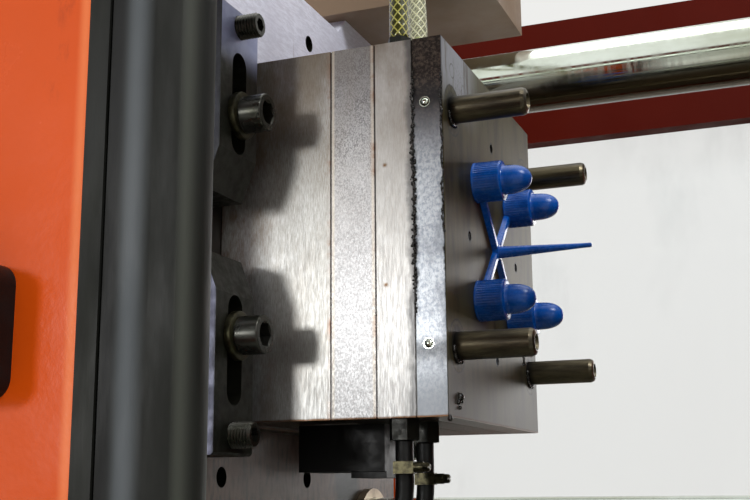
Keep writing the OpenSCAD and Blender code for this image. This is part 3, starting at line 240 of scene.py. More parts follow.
def mixed(amount, a, b):
    """Colour a where amount is 0, colour b where it is 1."""
    colours = {key: c if isinstance(c, bpy.types.NodeSocket) else (*c, 1) for key, c in ((6, a), (7, b))}
    return step("Mix", {0: amount, **colours}, data_type="RGBA").outputs[2]


def drift(a, b, size, start=0.4, end=0.7, **grain):
    """A colour that changes between two in patches about size metres across."""
    return mixed(ease(noise(size, **grain), start, end), a, b)


def faded(gap, reach, wobble, size):
    """1 where gap is 0, fading to 0 at reach, with a ragged edge."""
    if wobble:
        gap = maths("ADD", gap, times(maths("SUBTRACT", noise(size), 0.5), wobble))
    return ease(gap, reach, 0.0)


def near_line(where, reach, wobble=0.0, size=0.02, letter="X"):
    """1 on a plane across an axis, fading to 0 at reach from it."""
    return faded(apart(letter, where), reach, wobble, size)


def near_ring(y, z, radius, reach, wobble=0.0, size=0.01):
    """1 on circles round (+-y, +-z) from the clamping axis, fading to 0 at reach from them."""
    dy = maths("SUBTRACT", maths("ABSOLUTE", axis("Y")), y)
    dz = maths("SUBTRACT", apart("Z", AXIS_Z), z)
    far = maths("SQRT", maths("ADD", times(dy, dy), times(dz, dz)))
    return faded(maths("ABSOLUTE", maths("SUBTRACT", far, radius)) if radius else far, reach, wobble, size)


def use(**links):
    """Links outputs to the Principled shader's sockets, named with _ for a space."""
    shader = finish.node_tree.nodes["Principled BSDF"]
    for key, value in links.items():
        finish.node_tree.links.new(value, shader.inputs[key.replace("_", " ")])


def uneven(low, high, size, stretch=(1, 1, 1), detail=5.0, end=0.7):
    """Lets the roughness wander between two values."""
    use(Roughness=ease(noise(size, stretch, detail), 0.3, end, low, high))


def bumped(height, depth, strength=1.0):
    """Raises the surface by height, up to depth metres."""
    use(Normal=step("Bump", {"Height": height, "Distance": depth, "Strength": strength}).outputs["Normal"])


def two_tone(name, colour, a, b, size, start=0.4, end=0.7, detail=5.0, **looks):
    """A finish whose colour changes between two in patches."""
    made = new_finish(name, colour, **looks)
    use(Base_Color=drift(a, b, size, start, end, detail=detail))
    return made


def dress(*names):
    """Gives CAD nodes the finish begun last."""
    for name in names:
        for slot in nodes[name].material_slots:
            slot.material = finish


# %% [markdown]
# ## Paint
# The guards and doors are sprayed enamel: glossy, with a fine orange peel, a little darker where
# hands and oil have been. A low roughness gives the wet shine, and two noises give the
# peel and the grime. One function makes every paint on the machine. The door gets a paler strip
# along its leading edge, a painted highlight where light catches the rounded frame.


# %% Enamel
def enamel(name, colour, grime, *names, roughness=0.2, shine=0.5, highlight_edge=None):
    """A sprayed paint for the named nodes; the last keyword, if given, is the X of a strip of painted
    highlight.
    """
    new_finish(name, colour, roughness=roughness, shine=shine)
    shade = drift(colour, tuple(c * 0.86 for c in colour), 0.35, 0.35, detail=3)
    if highlight_edge is not None:
        # Painted highlight: a paler strip where light catches the door's rounded leading edge.
        shade = mixed(near_line(highlight_edge, 0.0045), shade, HIGHLIGHT_ORANGE)
    spots = ease(noise(0.045, (1, 1, 0.5), 8, 0.7), 0.64, 0.8, 0, 0.75)
    use(Base_Color=mixed(spots, shade, grime))
    uneven(roughness * 0.75, roughness * 1.5, 0.09, detail=6, end=0.75)
    bumped(noise(0.0035, detail=2), 0.00006)
    dress(*names)


ORANGE, ORANGE_GRIME, HIGHLIGHT_ORANGE = srgb(210, 78, 10), srgb(146, 50, 10), srgb(222, 112, 60)
enamel("orange_enamel", ORANGE, ORANGE_GRIME, "fixed_guards", "rear_door", shine=0.3)
enamel("door_enamel", ORANGE, ORANGE_GRIME, "operator_door", shine=0.3, highlight_edge=-0.4185)
# Painted shade: the headers' paint is the guards' orange-red, darkened to its tone in shade.
enamel("shaded_header_enamel", srgb(86, 17, 5), srgb(38, 12, 6), "guard_headers", roughness=0.5, shine=0.08)
enamel("grey_enamel", srgb(176, 176, 168), srgb(98, 94, 86), "bed_frame", roughness=0.42)
enamel("pale_enamel", srgb(206, 203, 192), srgb(120, 114, 102), "bed_panels", "injection_housing",
       roughness=0.4)
enamel("beige_enamel", srgb(122, 100, 78), srgb(66, 52, 38), "hose_manifolds", roughness=0.45)
enamel("dark_enamel", srgb(66, 72, 80), srgb(34, 32, 30), "clamp_cylinder", "ejector_cylinder",
       "hydraulic_cylinders", "drive_plate", roughness=0.4)

# %% [markdown]
# ## Ground steel
# Mould plates are surface-ground: fine lines run one way, and light stretches into a band across
# them. Noise that is stretched along the lines gives both the tone and the tiny grooves. Water from
# the cooling lines has left rust at each joint, and oily hands have left brown clouds. Painted shade
# darkens the plates towards the top of the mould, on faces that look down and just above them.

# %% Ground steel
RUST, SOOT, OIL_AND_SHADE = srgb(112, 62, 34), srgb(26, 22, 18), srgb(42, 32, 22)
# Where one mould plate ends and the next begins, in X
CLAMP_END, SPACER_END, SUPPORT_END, CORE_END, PARTING_X = -0.594, -0.495, -0.457, -0.425, -0.400
MOULD_SIDE_Y, MOULD_UNDERSIDE_Z = -0.140, 1.050


def ground_steel(name, light, dark, lines=(1, 1, 0.14), grain=0.001, roughness=0.36, metallic=0.85,
                 groove=0.00003, shine=0.5):
    """Steel with grinding lines; lines stretches the grain along the smallest of its three numbers."""
    new_finish(name, light, metallic, roughness, shine)
    streaks = ease(noise(grain, lines, 4, 0.8), 0.38, 0.62)
    clouds = ease(noise(0.11, detail=5), 0.34, 0.72)
    tone = mixed(streaks, light, tuple(a * 0.3 + b * 0.7 for a, b in zip(light, dark)))
    tone = mixed(times(clouds, 0.6), tone, dark)
    uneven(roughness * 0.88, roughness * 1.14, grain * 1.5, lines, 4)
    bumped(noise(grain * 0.8, lines, 2), groove)
    return tone


def shade_below(tone):
    """Painted shade on faces that look down and on the last centimetres above them, and a thin brown line."""
    tone = mixed(ease(axis("Z"), 1.13, 1.055, 0, 0.45), tone, srgb(104, 104, 104))
    tone = mixed(near_line(MOULD_UNDERSIDE_Z + 0.0003, 0.0018, 0.0014, 0.012, "Z"), tone, srgb(84, 58, 36))
    return mixed(ease(facing("Z"), -0.5, -0.9), tone, OIL_AND_SHADE)


def rusty_joints(tone, *joints):
    """Adds a dark line along each joint plane across the machine, and rust that has bled beside it."""
    for x in joints:
        patches = ease(noise(0.03, (0.2, 1, 1), 5), 0.46, 0.68, 0.05, 0.75)
        tone = mixed(times(near_line(x - 0.0012, 0.0042, 0.004), patches), tone, srgb(150, 104, 72))
        tone = mixed(times(near_line(x - 0.0004, 0.0016, 0.001), patches), tone, RUST)
        tone = mixed(near_line(x, 0.0011), tone, SOOT)
    return tone


def warm_shade_and_stains(tone, warm, start, end, amount):
    """Brown stains and painted warm shade, in blotches that grow towards the top of the mould."""
    rise = ease(axis("Z"), start, end, 0.1, 1)
    cloudy = ease(noise(0.07, (1, 1, 0.5), 6, 0.65), 0.3, 0.62, 0.25, 1)
    return mixed(times(rise, cloudy, amount), tone, warm)


# %% Spacer blocks, core plate and the other bright plates
tone = ground_steel("bright_plate_steel", srgb(214, 216, 216), srgb(146, 142, 134), (1, 1, 0.1), 0.0008,
                    groove=0.000014)
tone = warm_shade_and_stains(tone, srgb(126, 112, 94), 1.16, 1.345, 0.85)
# Browner in blotches towards the clamp end.
brown_blotches = ease(noise(0.05, (1, 1, 0.45), 7, 0.7), 0.4, 0.6)
tone = mixed(times(brown_blotches, ease(axis("X"), -0.505, -0.58), 0.75), tone, srgb(118, 90, 60))
use(Base_Color=shade_below(rusty_joints(tone, CLAMP_END, SPACER_END)))
dress("spacer_blocks", "rear_clamp_plate", "ejector_retainer_plate", "ejector_base_plate")

tone = ground_steel("core_plate_steel", srgb(218, 219, 219), srgb(190, 187, 182), (1, 1, 0.1), 0.0008, 0.4,
                    groove=0.000012)
tone = warm_shade_and_stains(tone, srgb(132, 120, 106), 1.17, 1.345, 0.95)
tone = rusty_joints(tone, SUPPORT_END)
tone = mixed(times(near_line(CORE_END - 0.0015, 0.0062, 0.012), 0.75), tone, srgb(84, 84, 86))
tone = mixed(near_line(CORE_END, 0.0012, 0.0016, 0.006), tone, SOOT)
dot = near_ring(0.14, 0.048, 0.0, 0.0026, 0.002, 0.004)
tone = mixed(times(dot, near_line(-0.4487, 0.003)), tone, srgb(110, 74, 30))
use(Base_Color=shade_below(tone))
dress("core_plate")

tone = ground_steel("support_plate_steel", srgb(218, 218, 219), srgb(204, 204, 206), (1, 1, 0.6), 0.0008,
                    0.42, groove=0.000014)
pits = ease(noise(0.0009, (1, 1, 0.7), 2, 0.8), 0.42, 0.6)
worn_top = times(ease(axis("Z"), 1.12, 1.345, 0.1, 0.95), ease(noise(0.02, detail=5), 0.35, 0.6, 0.55, 1))
tone = mixed(times(pits, worn_top), tone, srgb(92, 93, 98))
# Painted shade: the plate darkens towards its top.
tone = mixed(ease(axis("Z"), 1.24, 1.35, 0, 0.75), tone, srgb(112, 112, 116))
tone = warm_shade_and_stains(tone, srgb(150, 138, 124), 1.12, 1.3, 0.4)
# Painted highlight: pale lines where light catches the chamfered edges beside the joints.
for x in (SPACER_END + 0.002, SUPPORT_END - 0.002):
    tone = mixed(times(near_line(x, 0.002), 0.6), tone, srgb(222, 212, 194))
use(Base_Color=shade_below(rusty_joints(tone, SPACER_END, SUPPORT_END)))
dress("support_plate")

tone = ground_steel("cavity_plate_steel", srgb(204, 198, 188), srgb(150, 138, 122))
use(Base_Color=rusty_joints(tone, -0.04, -0.005))
dress("cavity_plate", "front_clamp_plate")

# %% [markdown]
# ## The stripper plate
# The plate that pushes the caps off is the dirtiest: its sides are mottled with dried grease and
# darkened towards top and bottom by painted shade, and its face is a dull olive with dark rings where
# grease creeps out round the guide pins, with painted shadow round the caps and a painted reflection
# near its top.
# Two finishes could be given to two sets of faces, but the mesh is the frame's own, so one finish
# chooses by the X coordinate instead.

# %% Stripper plate
PIN_AT, CAP_AT = (0.114, 0.095), (0.051, 0.0505)
slate = ground_steel("stripper_plate_steel", srgb(200, 204, 208), srgb(172, 176, 182), (1, 1, 0.5), 0.0014,
                     0.38, shine=0.15)
marbling = noise(0.0028, (1, 1, 0.8), 4, 0.7, twist=0.2)
slate = mixed(ease(marbling, 0.40, 0.64, 0, 0.7), slate, srgb(120, 128, 140))
slate = mixed(ease(noise(0.03, (1, 1, 0.6), 5), 0.46, 0.66, 0, 0.7), slate, srgb(104, 108, 116))
grime = drift(srgb(42, 36, 32), srgb(96, 84, 74), 0.0024, 0.42, 0.64, rough=0.75)
# Painted shade: the side darkens towards its top, where a brown mottle lies, and towards its bottom.
for start, end, most, shade in ((1.23, 1.30, 1, srgb(108, 108, 112)), (1.255, 1.325, 0.92, grime),
                                (1.115, 1.06, 0.85, srgb(92, 98, 106))):
    slate = mixed(ease(axis("Z"), start, end, 0, most), slate, shade)
along_grease = times(ease(axis("Z"), 1.10, 1.16), ease(axis("Z"), 1.335, 1.31))
for x, reach in ((CORE_END, 0.0042), (PARTING_X, 0.0026)):
    line = near_line(x, reach, reach * 2.4, 0.008)
    slate = mixed(times(line, along_grease), slate, srgb(14, 13, 12))
    slate = mixed(near_line(x, 0.001, 0.0008), slate, SOOT)
slate = mixed(times(near_ring(0.14, 0.1, 0.0, 0.014, 0.012), 0.7), slate, srgb(44, 44, 46))

olive = drift(srgb(70, 64, 38), srgb(40, 35, 17), 0.022, 0.42, 0.68, stretch=(1, 1, 0.22), detail=6)
# Painted reflection: a pale lilac-grey patch near the top of the face, towards the near side.
top_reflection = times(ease(axis("Z"), 1.285, 1.325), ease(axis("Y"), -0.03, -0.09))
olive = mixed(top_reflection, olive, srgb(140, 142, 150))
olive = mixed(ease(noise(0.0016, (1, 1, 0.06), 3, 0.8), 0.5, 0.75, 0, 0.5), olive, srgb(86, 80, 54))
drips = ease(noise(0.009, (1, 1, 0.16), 4, 0.7), 0.5, 0.68, 0, 0.7)
olive = mixed(times(drips, ease(axis("Z"), 1.24, 1.28)), olive, srgb(64, 50, 34))
# Painted shadow and painted reflection of the blue caps: a dark blue-grey zone round each cap.
cap_shadow = near_ring(0.054, CAP_AT[1], 0.0, 0.040, 0.014, 0.02)
olive = mixed(times(cap_shadow, 0.85), olive, srgb(30, 30, 40))
# Dark rings: grease round the guide pins, bushings and small holes, and painted contact shade round the foot
# of each cap.
for (y, z), radius, reach, strength in ((PIN_AT, 0.0207, 0.0012, 0.9), (PIN_AT, 0.0125, 0.009, 0.95),
                                        ((0.113, 0.129), 0.0058, 0.0007, 0.85),
                                        ((0.113, 0.062), 0.0058, 0.0007, 0.6), (CAP_AT, 0.018, 0.004, 0.7)):
    ring = near_ring(y, z, radius, reach, reach * 1.6, 0.007)
    olive = mixed(times(ring, strength), olive, srgb(30, 28, 24))
spatter = ease(noise(0.0028, detail=3, rough=0.8), 0.56, 0.62)
olive = mixed(times(spatter, near_ring(0.09, 0.115, 0.0, 0.034, 0.02), 0.8), olive, srgb(40, 36, 30))
for y, z in ((0.0, 0.095), (0.074, 0.0)):
    olive = mixed(near_ring(y, z, 0.0046, 0.0016, 0.0012, 0.004), olive, srgb(26, 24, 18))
on_face = ease(axis("X"), PARTING_X - 0.0008, PARTING_X - 0.0003)
use(Base_Color=shade_below(mixed(on_face, slate, olive)), Metallic=ease(on_face, 0, 1, 0.85, 0.3),
    Roughness=ease(on_face, 0, 1, 0.34, 0.5))
dress("stripper_plate")

tone = ground_steel("stripper_bushing_steel", srgb(72, 66, 46), srgb(46, 41, 26), (1, 1, 1), 0.003, 0.5, 0.3,
                    shine=0.15)
tone = mixed(near_ring(*PIN_AT, 0.0205, 0.0012, 0.0014, 0.006), tone, srgb(40, 37, 32))
tone = mixed(near_ring(*PIN_AT, 0.0125, 0.006, 0.006, 0.007), tone, srgb(22, 20, 18))
use(Base_Color=tone)
dress("stripper_bushings")

# %% [markdown]
# ## Platens and tie bars
# The platens are milled castings. Their pale lilac-white towards the top is painted reflected light,
# and the darker brown lower down is painted shade, as are the near-black patches where the clamps sit
# and the dark walls of the tapped holes. The tie bars are hard chrome, ground round, and mirror what
# is near them. The chrome gets rings of very fine lines round it, a roughness that wanders like a thin
# film of oil, a slight tint, and painted shade on its underside.

# %% Platens, tie bars and other bright machine parts
tone = ground_steel("platen_steel", srgb(238, 240, 255), srgb(206, 206, 222), (1, 0.2, 1), 0.003, 0.34, 0.2,
                    shine=0.15)
browned = drift(srgb(88, 66, 54), srgb(58, 42, 33), 0.006, 0.4, 0.66, stretch=(1, 1, 0.3), detail=5)
# Painted light and shade: pale lilac-white towards the top, a darker brown towards the bottom.
tone = mixed(ease(axis("Z"), 1.34, 1.12), tone, browned)
tone = mixed(times(ease(noise(0.02, (1, 1, 0.06), 5), 0.6, 0.72), 0.6), tone, srgb(96, 60, 38))
tone = mixed(times(near_ring(0.0, 0.15, 0.0, 0.13, 0.05, 0.03), 0.3), tone, OIL_AND_SHADE)
# Painted shade: near black round the places where the clamps sit.
for z in (0.075, 0.15, 0.195):
    shade_under_clamp = near_ring(0.187, z, 0.0, 0.052, 0.02, 0.02)
    tone = mixed(ease(shade_under_clamp, 0.1, 0.5), tone, srgb(9, 8, 6))
# Painted shade: dark walls inside the holes in the platens' faces.
shade_in_tapped_hole = times(ease(maths("ABSOLUTE", facing("X")), 0.5, 0.2),
                       ease(maths("ABSOLUTE", axis("Y")), 0.285, 0.275),
                       ease(apart("Z", AXIS_Z), 0.285, 0.275),
                       ease(maths("ABSOLUTE", maths("ADD", axis("X"), 0.33)), 0.40, 0.38))
use(Base_Color=mixed(shade_in_tapped_hole, tone, srgb(22, 21, 14)))
dress("moving_platen", "stationary_platen", "cylinder_platen", "carriage_rails", "tie_bar_nuts")

chrome = new_finish("tie_bar_chrome", srgb(214, 222, 214), metallic=1.0, roughness=0.14)
tone = drift(srgb(240, 248, 238), srgb(196, 202, 182), 0.12, stretch=(0.4, 1, 1), detail=5)
# Painted shade: a dark brown on the faces that look down.
use(Base_Color=mixed(ease(facing("Z"), -0.1, -0.75), tone, srgb(62, 52, 38)))
uneven(0.08, 0.26, 0.02, (3, 0.6, 0.6), 4, end=0.75)
bumped(noise(0.0012, (1, 0.02, 0.02), 2), 0.00001)
dress("tie_bars", "clamp_ram", "screw")

# %% [markdown]
# ## Guide pins, screws and clamps
# Guide pins are case-hardened and browned, with grease that shines a dull green-gold along the top. The
# clamps and screws are blackened steel with oil in every corner, and their thick washers are zinc
# plated with an olive tint.

# %% Dark steels
new_finish("guide_pin_steel", srgb(84, 76, 60), metallic=0.75, roughness=0.36)
tone = drift(srgb(92, 84, 64), srgb(44, 38, 28), 0.01, 0.36, 0.66, stretch=(0.12, 1, 1), detail=6, rough=0.7)
use(Base_Color=mixed(ease(axis("X"), PARTING_X + 0.008, PARTING_X + 0.001), tone, srgb(18, 16, 13)))
uneven(0.28, 0.46, 0.012, (0.2, 1, 1))
bumped(noise(0.0012, (0.1, 1, 1), 3), 0.00003)
dress("guide_pins")

new_finish("black_oxide_steel", srgb(32, 33, 26), metallic=0.5, roughness=0.42)
tone = drift(srgb(30, 31, 24), srgb(15, 15, 10), 0.02, 0.4, 0.68, detail=8, rough=0.7)
# Painted light: the clamps' outer sides facing along Y turn light blue-grey, most on the lower clamps.
lit_clamp_side = times(ease(noise(0.006, (1, 1, 0.3), 5, 0.7), 0.3, 0.6, 0.45, 1),
                  ease(maths("ABSOLUTE", facing("Y")), 0.96, 0.995), ease(axis("X"), -0.553, -0.556),
                  ease(maths("ABSOLUTE", axis("Y")), 0.205, 0.212), ease(axis("Z"), 1.22, 1.18, 0.2, 1))
# Painted reflection: a pale blue patch at the top of the clamps' faces that point along +X.
clamp_top_reflection = times(ease(axis("Z"), 1.322, 1.352), ease(axis("X"), -0.5, -0.52), ease(facing("X"), 0.7, 0.95))
tone = mixed(clamp_top_reflection, tone, srgb(150, 156, 190))
use(Base_Color=mixed(lit_clamp_side, tone, srgb(102, 104, 122)))
uneven(0.3, 0.55, 0.008, detail=4)
bumped(noise(0.0015, detail=3), 0.00005)
dress("mould_clamps", "fixed_clamps", "sprue_bushing", "hose_fittings", "levelling_pads")

oiled_black = two_tone("oiled_screw_steel", srgb(52, 50, 45), srgb(66, 66, 62), srgb(50, 50, 42), 0.02, 0.38,
                       0.72, 1, metallic=0.85, roughness=0.26)
uneven(0.25, 0.31, 0.015, detail=1)

olive_zinc = two_tone("olive_zinc_plate", srgb(112, 106, 78), srgb(68, 66, 46), srgb(34, 32, 20), 0.008, 0.35,
                      metallic=0.8, roughness=0.34)
bumped(noise(0.001, detail=2), 0.00003)

zinc = two_tone("yellow_zinc_plate", srgb(66, 62, 46), srgb(72, 68, 50), srgb(32, 30, 22), 0.005, detail=4,
                metallic=0.9, roughness=0.3)
dress("hose_clamps")

two_tone("turned_bronze", srgb(150, 130, 104), srgb(158, 140, 116), srgb(96, 76, 54), 0.03, detail=6,
         metallic=0.9, roughness=0.34)
bumped(noise(0.001, (1, 0.02, 0.02), 2), 0.00002)
dress("platen_bushings")

two_tone("heat_tinted_steel", srgb(186, 176, 156), srgb(196, 186, 166), srgb(140, 108, 82), 0.05, 0.35,
         metallic=0.85, roughness=0.32)
bumped(noise(0.002, (1, 0.1, 0.1), 3), 0.00004)
dress("heater_bands", "barrel", "nozzle", "push_rods", "core_pins")

two_tone("hopper_sheet_steel", srgb(206, 208, 210), srgb(210, 212, 214), srgb(168, 170, 172), 0.2, 0.35,
         detail=4, metallic=0.9, roughness=0.3)
bumped(noise(0.0012, (1, 1, 0.03), 2), 0.00003)
dress("hopper")

# %% [markdown]
# ## Plastics, rubber and glazing
# The caps are glossy blue polypropylene: light goes a little way in, so a touch of subsurface keeps
# them from looking painted. The clear panes let light through to the mould, so they are made of thin
# alpha rather than refracting glass, with a sharper reflection at a low angle.

# %% Plastics, rubber and panes
blue = two_tone("blue_polypropylene", srgb(0, 72, 154), srgb(0, 76, 160), srgb(0, 62, 138), 0.02, detail=3,
                roughness=0.22, shine=0.36, Subsurface_Weight=0.05, Subsurface_Scale=0.002)
uneven(0.2, 0.32, 0.004, detail=3)
bumped(noise(0.0006, detail=2), 0.00001)
dress("moulded_shot")

black_plastic = new_finish("black_plastic", srgb(9, 9, 9), shine=0.2)
uneven(0.34, 0.55, 0.01)
bumped(noise(0.0007, detail=2), 0.00004)
dress("switch_block", "door_handle", "hopper_lid", "control_panel")

new_finish("door_seal_rubber", srgb(8, 9, 8), shine=0.22)
tone = drift(srgb(14, 15, 11), srgb(22, 23, 18), 0.03, 0.45, 0.72, stretch=(1, 1, 0.3), detail=6)
SEAL_START = -0.4165
# Painted light on the bulb seal: a painted highlight along its round bulb, painted shade in its groove, and a
# painted highlight on its far edge.
for x, reach, shade in ((0.0235, 0.0095, srgb(78, 82, 86)), (0.0140, 0.0072, srgb(1, 1, 1)),
                        (0.0475, 0.0035, srgb(52, 54, 48))):
    tone = mixed(near_line(SEAL_START + x, reach), tone, shade)
use(Base_Color=tone)
uneven(0.42, 0.7, 0.02, (1, 1, 0.2))
bumped(noise(0.0012, (1, 1, 0.1), 3), 0.00006)
dress("door_seal")

new_finish("red_plastic", srgb(190, 20, 22), roughness=0.3)
uneven(0.22, 0.42, 0.006, detail=4)
dress("e_stop", "main_switch")

new_finish("clear_pane", srgb(226, 236, 238), roughness=0.06)
glance = step("LayerWeight", {"Blend": 0.35}).outputs["Fresnel"]
haze = ease(noise(0.12, (1, 1, 0.4), 6), 0.5, 0.8, 0.0, 0.1)
use(Alpha=maths("ADD", times(glance, 0.5), maths("ADD", haze, 0.05)))
dress("door_window", "rear_window", "guard_window")

# %% [markdown]
# ## Hose finishes
# The clear hoses have a braid inside their wall: two sets of threads that cross on a slant. On the
# tube's own UV map U runs round and V along, so each set is a wave of U plus or minus V, and the
# threads follow every bend.

# %% Braided and plain hose
THREADS_ROUND, THREAD_PITCH = 7, 0.0085


def braided(name, wall, thread, clear=1.0):
    """Hose with a braid in its wall; clear is how solid the wall between the threads is."""
    made = new_finish(name, wall, roughness=0.24, Coat_Weight=0.6, Coat_Roughness=0.08)
    uv = step("SeparateXYZ", {"Vector": place(source="UV")})
    around = times(uv.outputs["X"], THREADS_ROUND * math.tau)
    along = times(uv.outputs["Y"], math.tau / THREAD_PITCH)
    sets = [ease(maths("ABSOLUTE", maths("SINE", times(maths(what, around, along), 0.5))), 0.42, 0.16)
            for what in ("ADD", "SUBTRACT")]
    strands = maths("MAXIMUM", *sets)
    use(Base_Color=mixed(strands, wall, thread))
    if clear < 1:
        use(Alpha=ease(strands, 0, 1, clear, 0.92))
    bumped(strands, 0.0002, 0.6)
    return made


hose_finishes = {
    "upper_hose_a": braided("green_braided_hose", srgb(58, 58, 22), srgb(178, 172, 84)),
    "upper_hose_b": braided("pale_braided_hose", srgb(170, 172, 140), srgb(216, 214, 176), clear=0.42),
}
hose_rubber = new_finish("hose_rubber", srgb(12, 12, 12), roughness=0.45, shine=0.3)
uneven(0.35, 0.6, 0.008)
bumped(noise(0.0015, detail=3), 0.00005)
for name, hose in hoses.items():
    hose.data.materials.append(hose_finishes.get(name, hose_rubber))

# %% [markdown]
# ## Modelling by hand, in code
# The next pieces are made as one would with a mouse: add a primitive at its size and place, open it
# in edit mode, pick faces by where they are or which way they point, and inset, extrude or bevel
# them. An operator works on all that is selected, so the first helper clears the selection, and the
# second picks only what its test names.


# %% Helpers for modelling
def start(kind, **where):
    """Adds a primitive with nothing else selected and opens it in edit mode."""
    if bpy.context.object and bpy.context.object.mode != "OBJECT":
        bpy.ops.object.mode_set(mode="OBJECT")
    bpy.ops.object.select_all(action="DESELECT")
    getattr(bpy.ops.mesh, f"primitive_{kind}_add")(**where)
    bpy.ops.object.transform_apply(location=True, rotation=True, scale=True)
    bpy.ops.object.mode_set(mode="EDIT")
    return bpy.context.object


TURN = {"X": (0, math.pi / 2, 0), "Y": (math.pi / 2, 0, 0), "Z": (0, 0, 0)}


def rod(radius, length, at, letter="Z", sides=64):
    """A cylinder along an axis with its middle at a point."""
    return start("cylinder", vertices=sides, radius=radius, depth=length, rotation=TURN[letter], location=at)


def block(at, size):
    return start("cube", size=1, location=at, scale=size)


def pick(test, kind="faces"):
    """Selects the faces, edges or vertices whose test says yes; a face gives its middle and normal."""
    bpy.ops.mesh.select_mode(type={"faces": "FACE", "edges": "EDGE", "verts": "VERT"}[kind])
    bpy.ops.mesh.select_all(action="DESELECT")
    shape = bmesh.from_edit_mesh(bpy.context.object.data)
    for part in getattr(shape, kind):
        if kind == "faces":
            chosen = test(part.calc_center_median(), part.normal)
        elif kind == "edges":
            chosen = test(part.verts[0].co, part.verts[1].co)
        else:
            chosen = test(part.co)
        part.select_set(bool(chosen))
    bmesh.update_edit_mesh(bpy.context.object.data)


def pick_side(letter, way=0, flat=0.9):
    """Picks faces that point along an axis: forwards for way 1, backwards for -1, both for 0."""
    k = "XYZ".index(letter)
    pick(lambda middle, normal: (normal[k] * way if way else abs(normal[k])) > flat)


def push(x=0.0, y=0.0, z=0.0):
    """Extrudes what is picked and moves it."""
    bpy.ops.mesh.extrude_region_move(TRANSFORM_OT_translate={"value": (x, y, z)})


def widen(letter, scale):
    """Resizes what is picked across an axis."""
    bpy.ops.transform.resize(value=[1 if other == letter else scale for other in "XYZ"])


def grow(letter, *stages):
    """Pushes what is picked along an axis stage by stage; a stage is (way out, scale across)."""
    for out, scale in stages:
        push(**{letter.lower(): out})
        widen(letter, scale)


def inset(width):
    bpy.ops.mesh.inset(thickness=width)


def ring_out(width):
    """Insets two opposite faces and bridges them into a hole."""
    inset(width)
    bpy.ops.mesh.bridge_edge_loops()


def bevel(width, segments=1):
    bpy.ops.mesh.bevel(offset=width, segments=segments)


def apply_modifier(piece, kind, **settings):
    """Adds a modifier to a piece and applies it."""
    bpy.context.view_layer.objects.active = piece
    modifier = piece.modifiers.new(kind.lower(), kind)
    for key, value in settings.items():
        setattr(modifier, key, value)
    bpy.ops.object.modifier_apply(modifier=modifier.name)


def cut(piece, tool, operation="DIFFERENCE"):
    """A Boolean modifier with another object, applied; the tool is deleted."""
    bpy.ops.object.mode_set(mode="OBJECT")
    apply_modifier(piece, "BOOLEAN", object=tool, operation=operation, solver="EXACT")
    bpy.data.objects.remove(tool, do_unlink=True)


BODY_AND_SLOT = {}


def belongs(piece, body, slot):
    """Lets a piece ride on its body and keeps its body and slot name for copies."""
    BODY_AND_SLOT[piece.name] = body, slot
    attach(piece, body)


def done(piece, name, finish, body, slot, smooth=35):
    """Closes a piece: faces point outwards, round sides look round, and it rides on its body."""
    bpy.context.view_layer.objects.active = piece
    if piece.mode != "EDIT":
        bpy.ops.object.mode_set(mode="EDIT")
    bpy.ops.mesh.select_all(action="SELECT")
    bpy.ops.mesh.remove_doubles(threshold=0.00001)
    bpy.ops.mesh.normals_make_consistent(inside=False)
    bpy.ops.object.mode_set(mode="OBJECT")
    bpy.ops.object.select_all(action="DESELECT")
    piece.select_set(True)
    bpy.ops.object.shade_smooth_by_angle(angle=math.radians(smooth))
    piece.name = piece.data.name = name
    piece.data.materials.clear()
    piece.data.materials.append(finish)
    belongs(piece, body, slot)
    print(name, "has", len(piece.data.polygons), "faces")
    return piece


def again(piece, name, move=(0, 0, 0), flip=(1, 1, 1), about=(0, 0, 0)):
    """A copy with its own mesh, mirrored about a point where flip has -1, then moved."""
    copy = piece.copy()
    copy.data = piece.data.copy()
    copy.name = copy.data.name = name
    bpy.context.scene.collection.objects.link(copy)
    middle = Vector(about)
    there, back = Matrix.Translation(Vector(move) + middle), Matrix.Translation(-middle)
    copy.data.transform(there @ Matrix.Diagonal((*flip, 1)) @ back)
    if flip[0] * flip[1] * flip[2] < 0:
        copy.data.flip_normals()
    belongs(copy, *BODY_AND_SLOT[piece.name])


# %% [markdown]
# ## The mould's clamping screws
# A strap clamp is held by a socket head cap screw on a thick chamfered washer, and its heel stands on
# a threaded jacking screw. The washer could be a torus, but a real one is a flat disc: two caps are
# inset and bridged into a hole, and its rims bevelled. The head gets a bevelled rim and a hexagon cut
# by a Boolean, as a broach would. The thread is a V turned up a helix by a Screw modifier, then
# trimmed by a Boolean to a bevelled cylinder. Each is made once, and copied to the four clamps.

# %% Places of the clamping screws, from the CAD frame
CLAMP_FACE, PLATEN_FACE = -0.554, -0.619
SCREW_AT = (-0.187, AXIS_Z + 0.0875)
HEEL_AT = (-0.187, AXIS_Z + 0.162)
TINY, NEAR = 1e-6, 1e-4


def off_axis(point):
    """Distance of a point from the clamping screw's axis."""
    return math.hypot(point.y - SCREW_AT[0], point.z - SCREW_AT[1])


# %% Thick washer
WASHER_T, WASHER_R, WASHER_HOLE = 0.006, 0.019, 0.0105
washer = rod(WASHER_R, WASHER_T, (CLAMP_FACE + WASHER_T / 2, *SCREW_AT), "X")
pick_side("X")
ring_out(WASHER_R - WASHER_HOLE)
pick(lambda a, b: abs(a.x - b.x) < TINY and min(off_axis(a), off_axis(b)) > WASHER_R - NEAR, "edges")
bevel(0.0011, 2)
done(washer, "clamp_washer_upper_near", olive_zinc, "moving_unit", "clip_zinc")

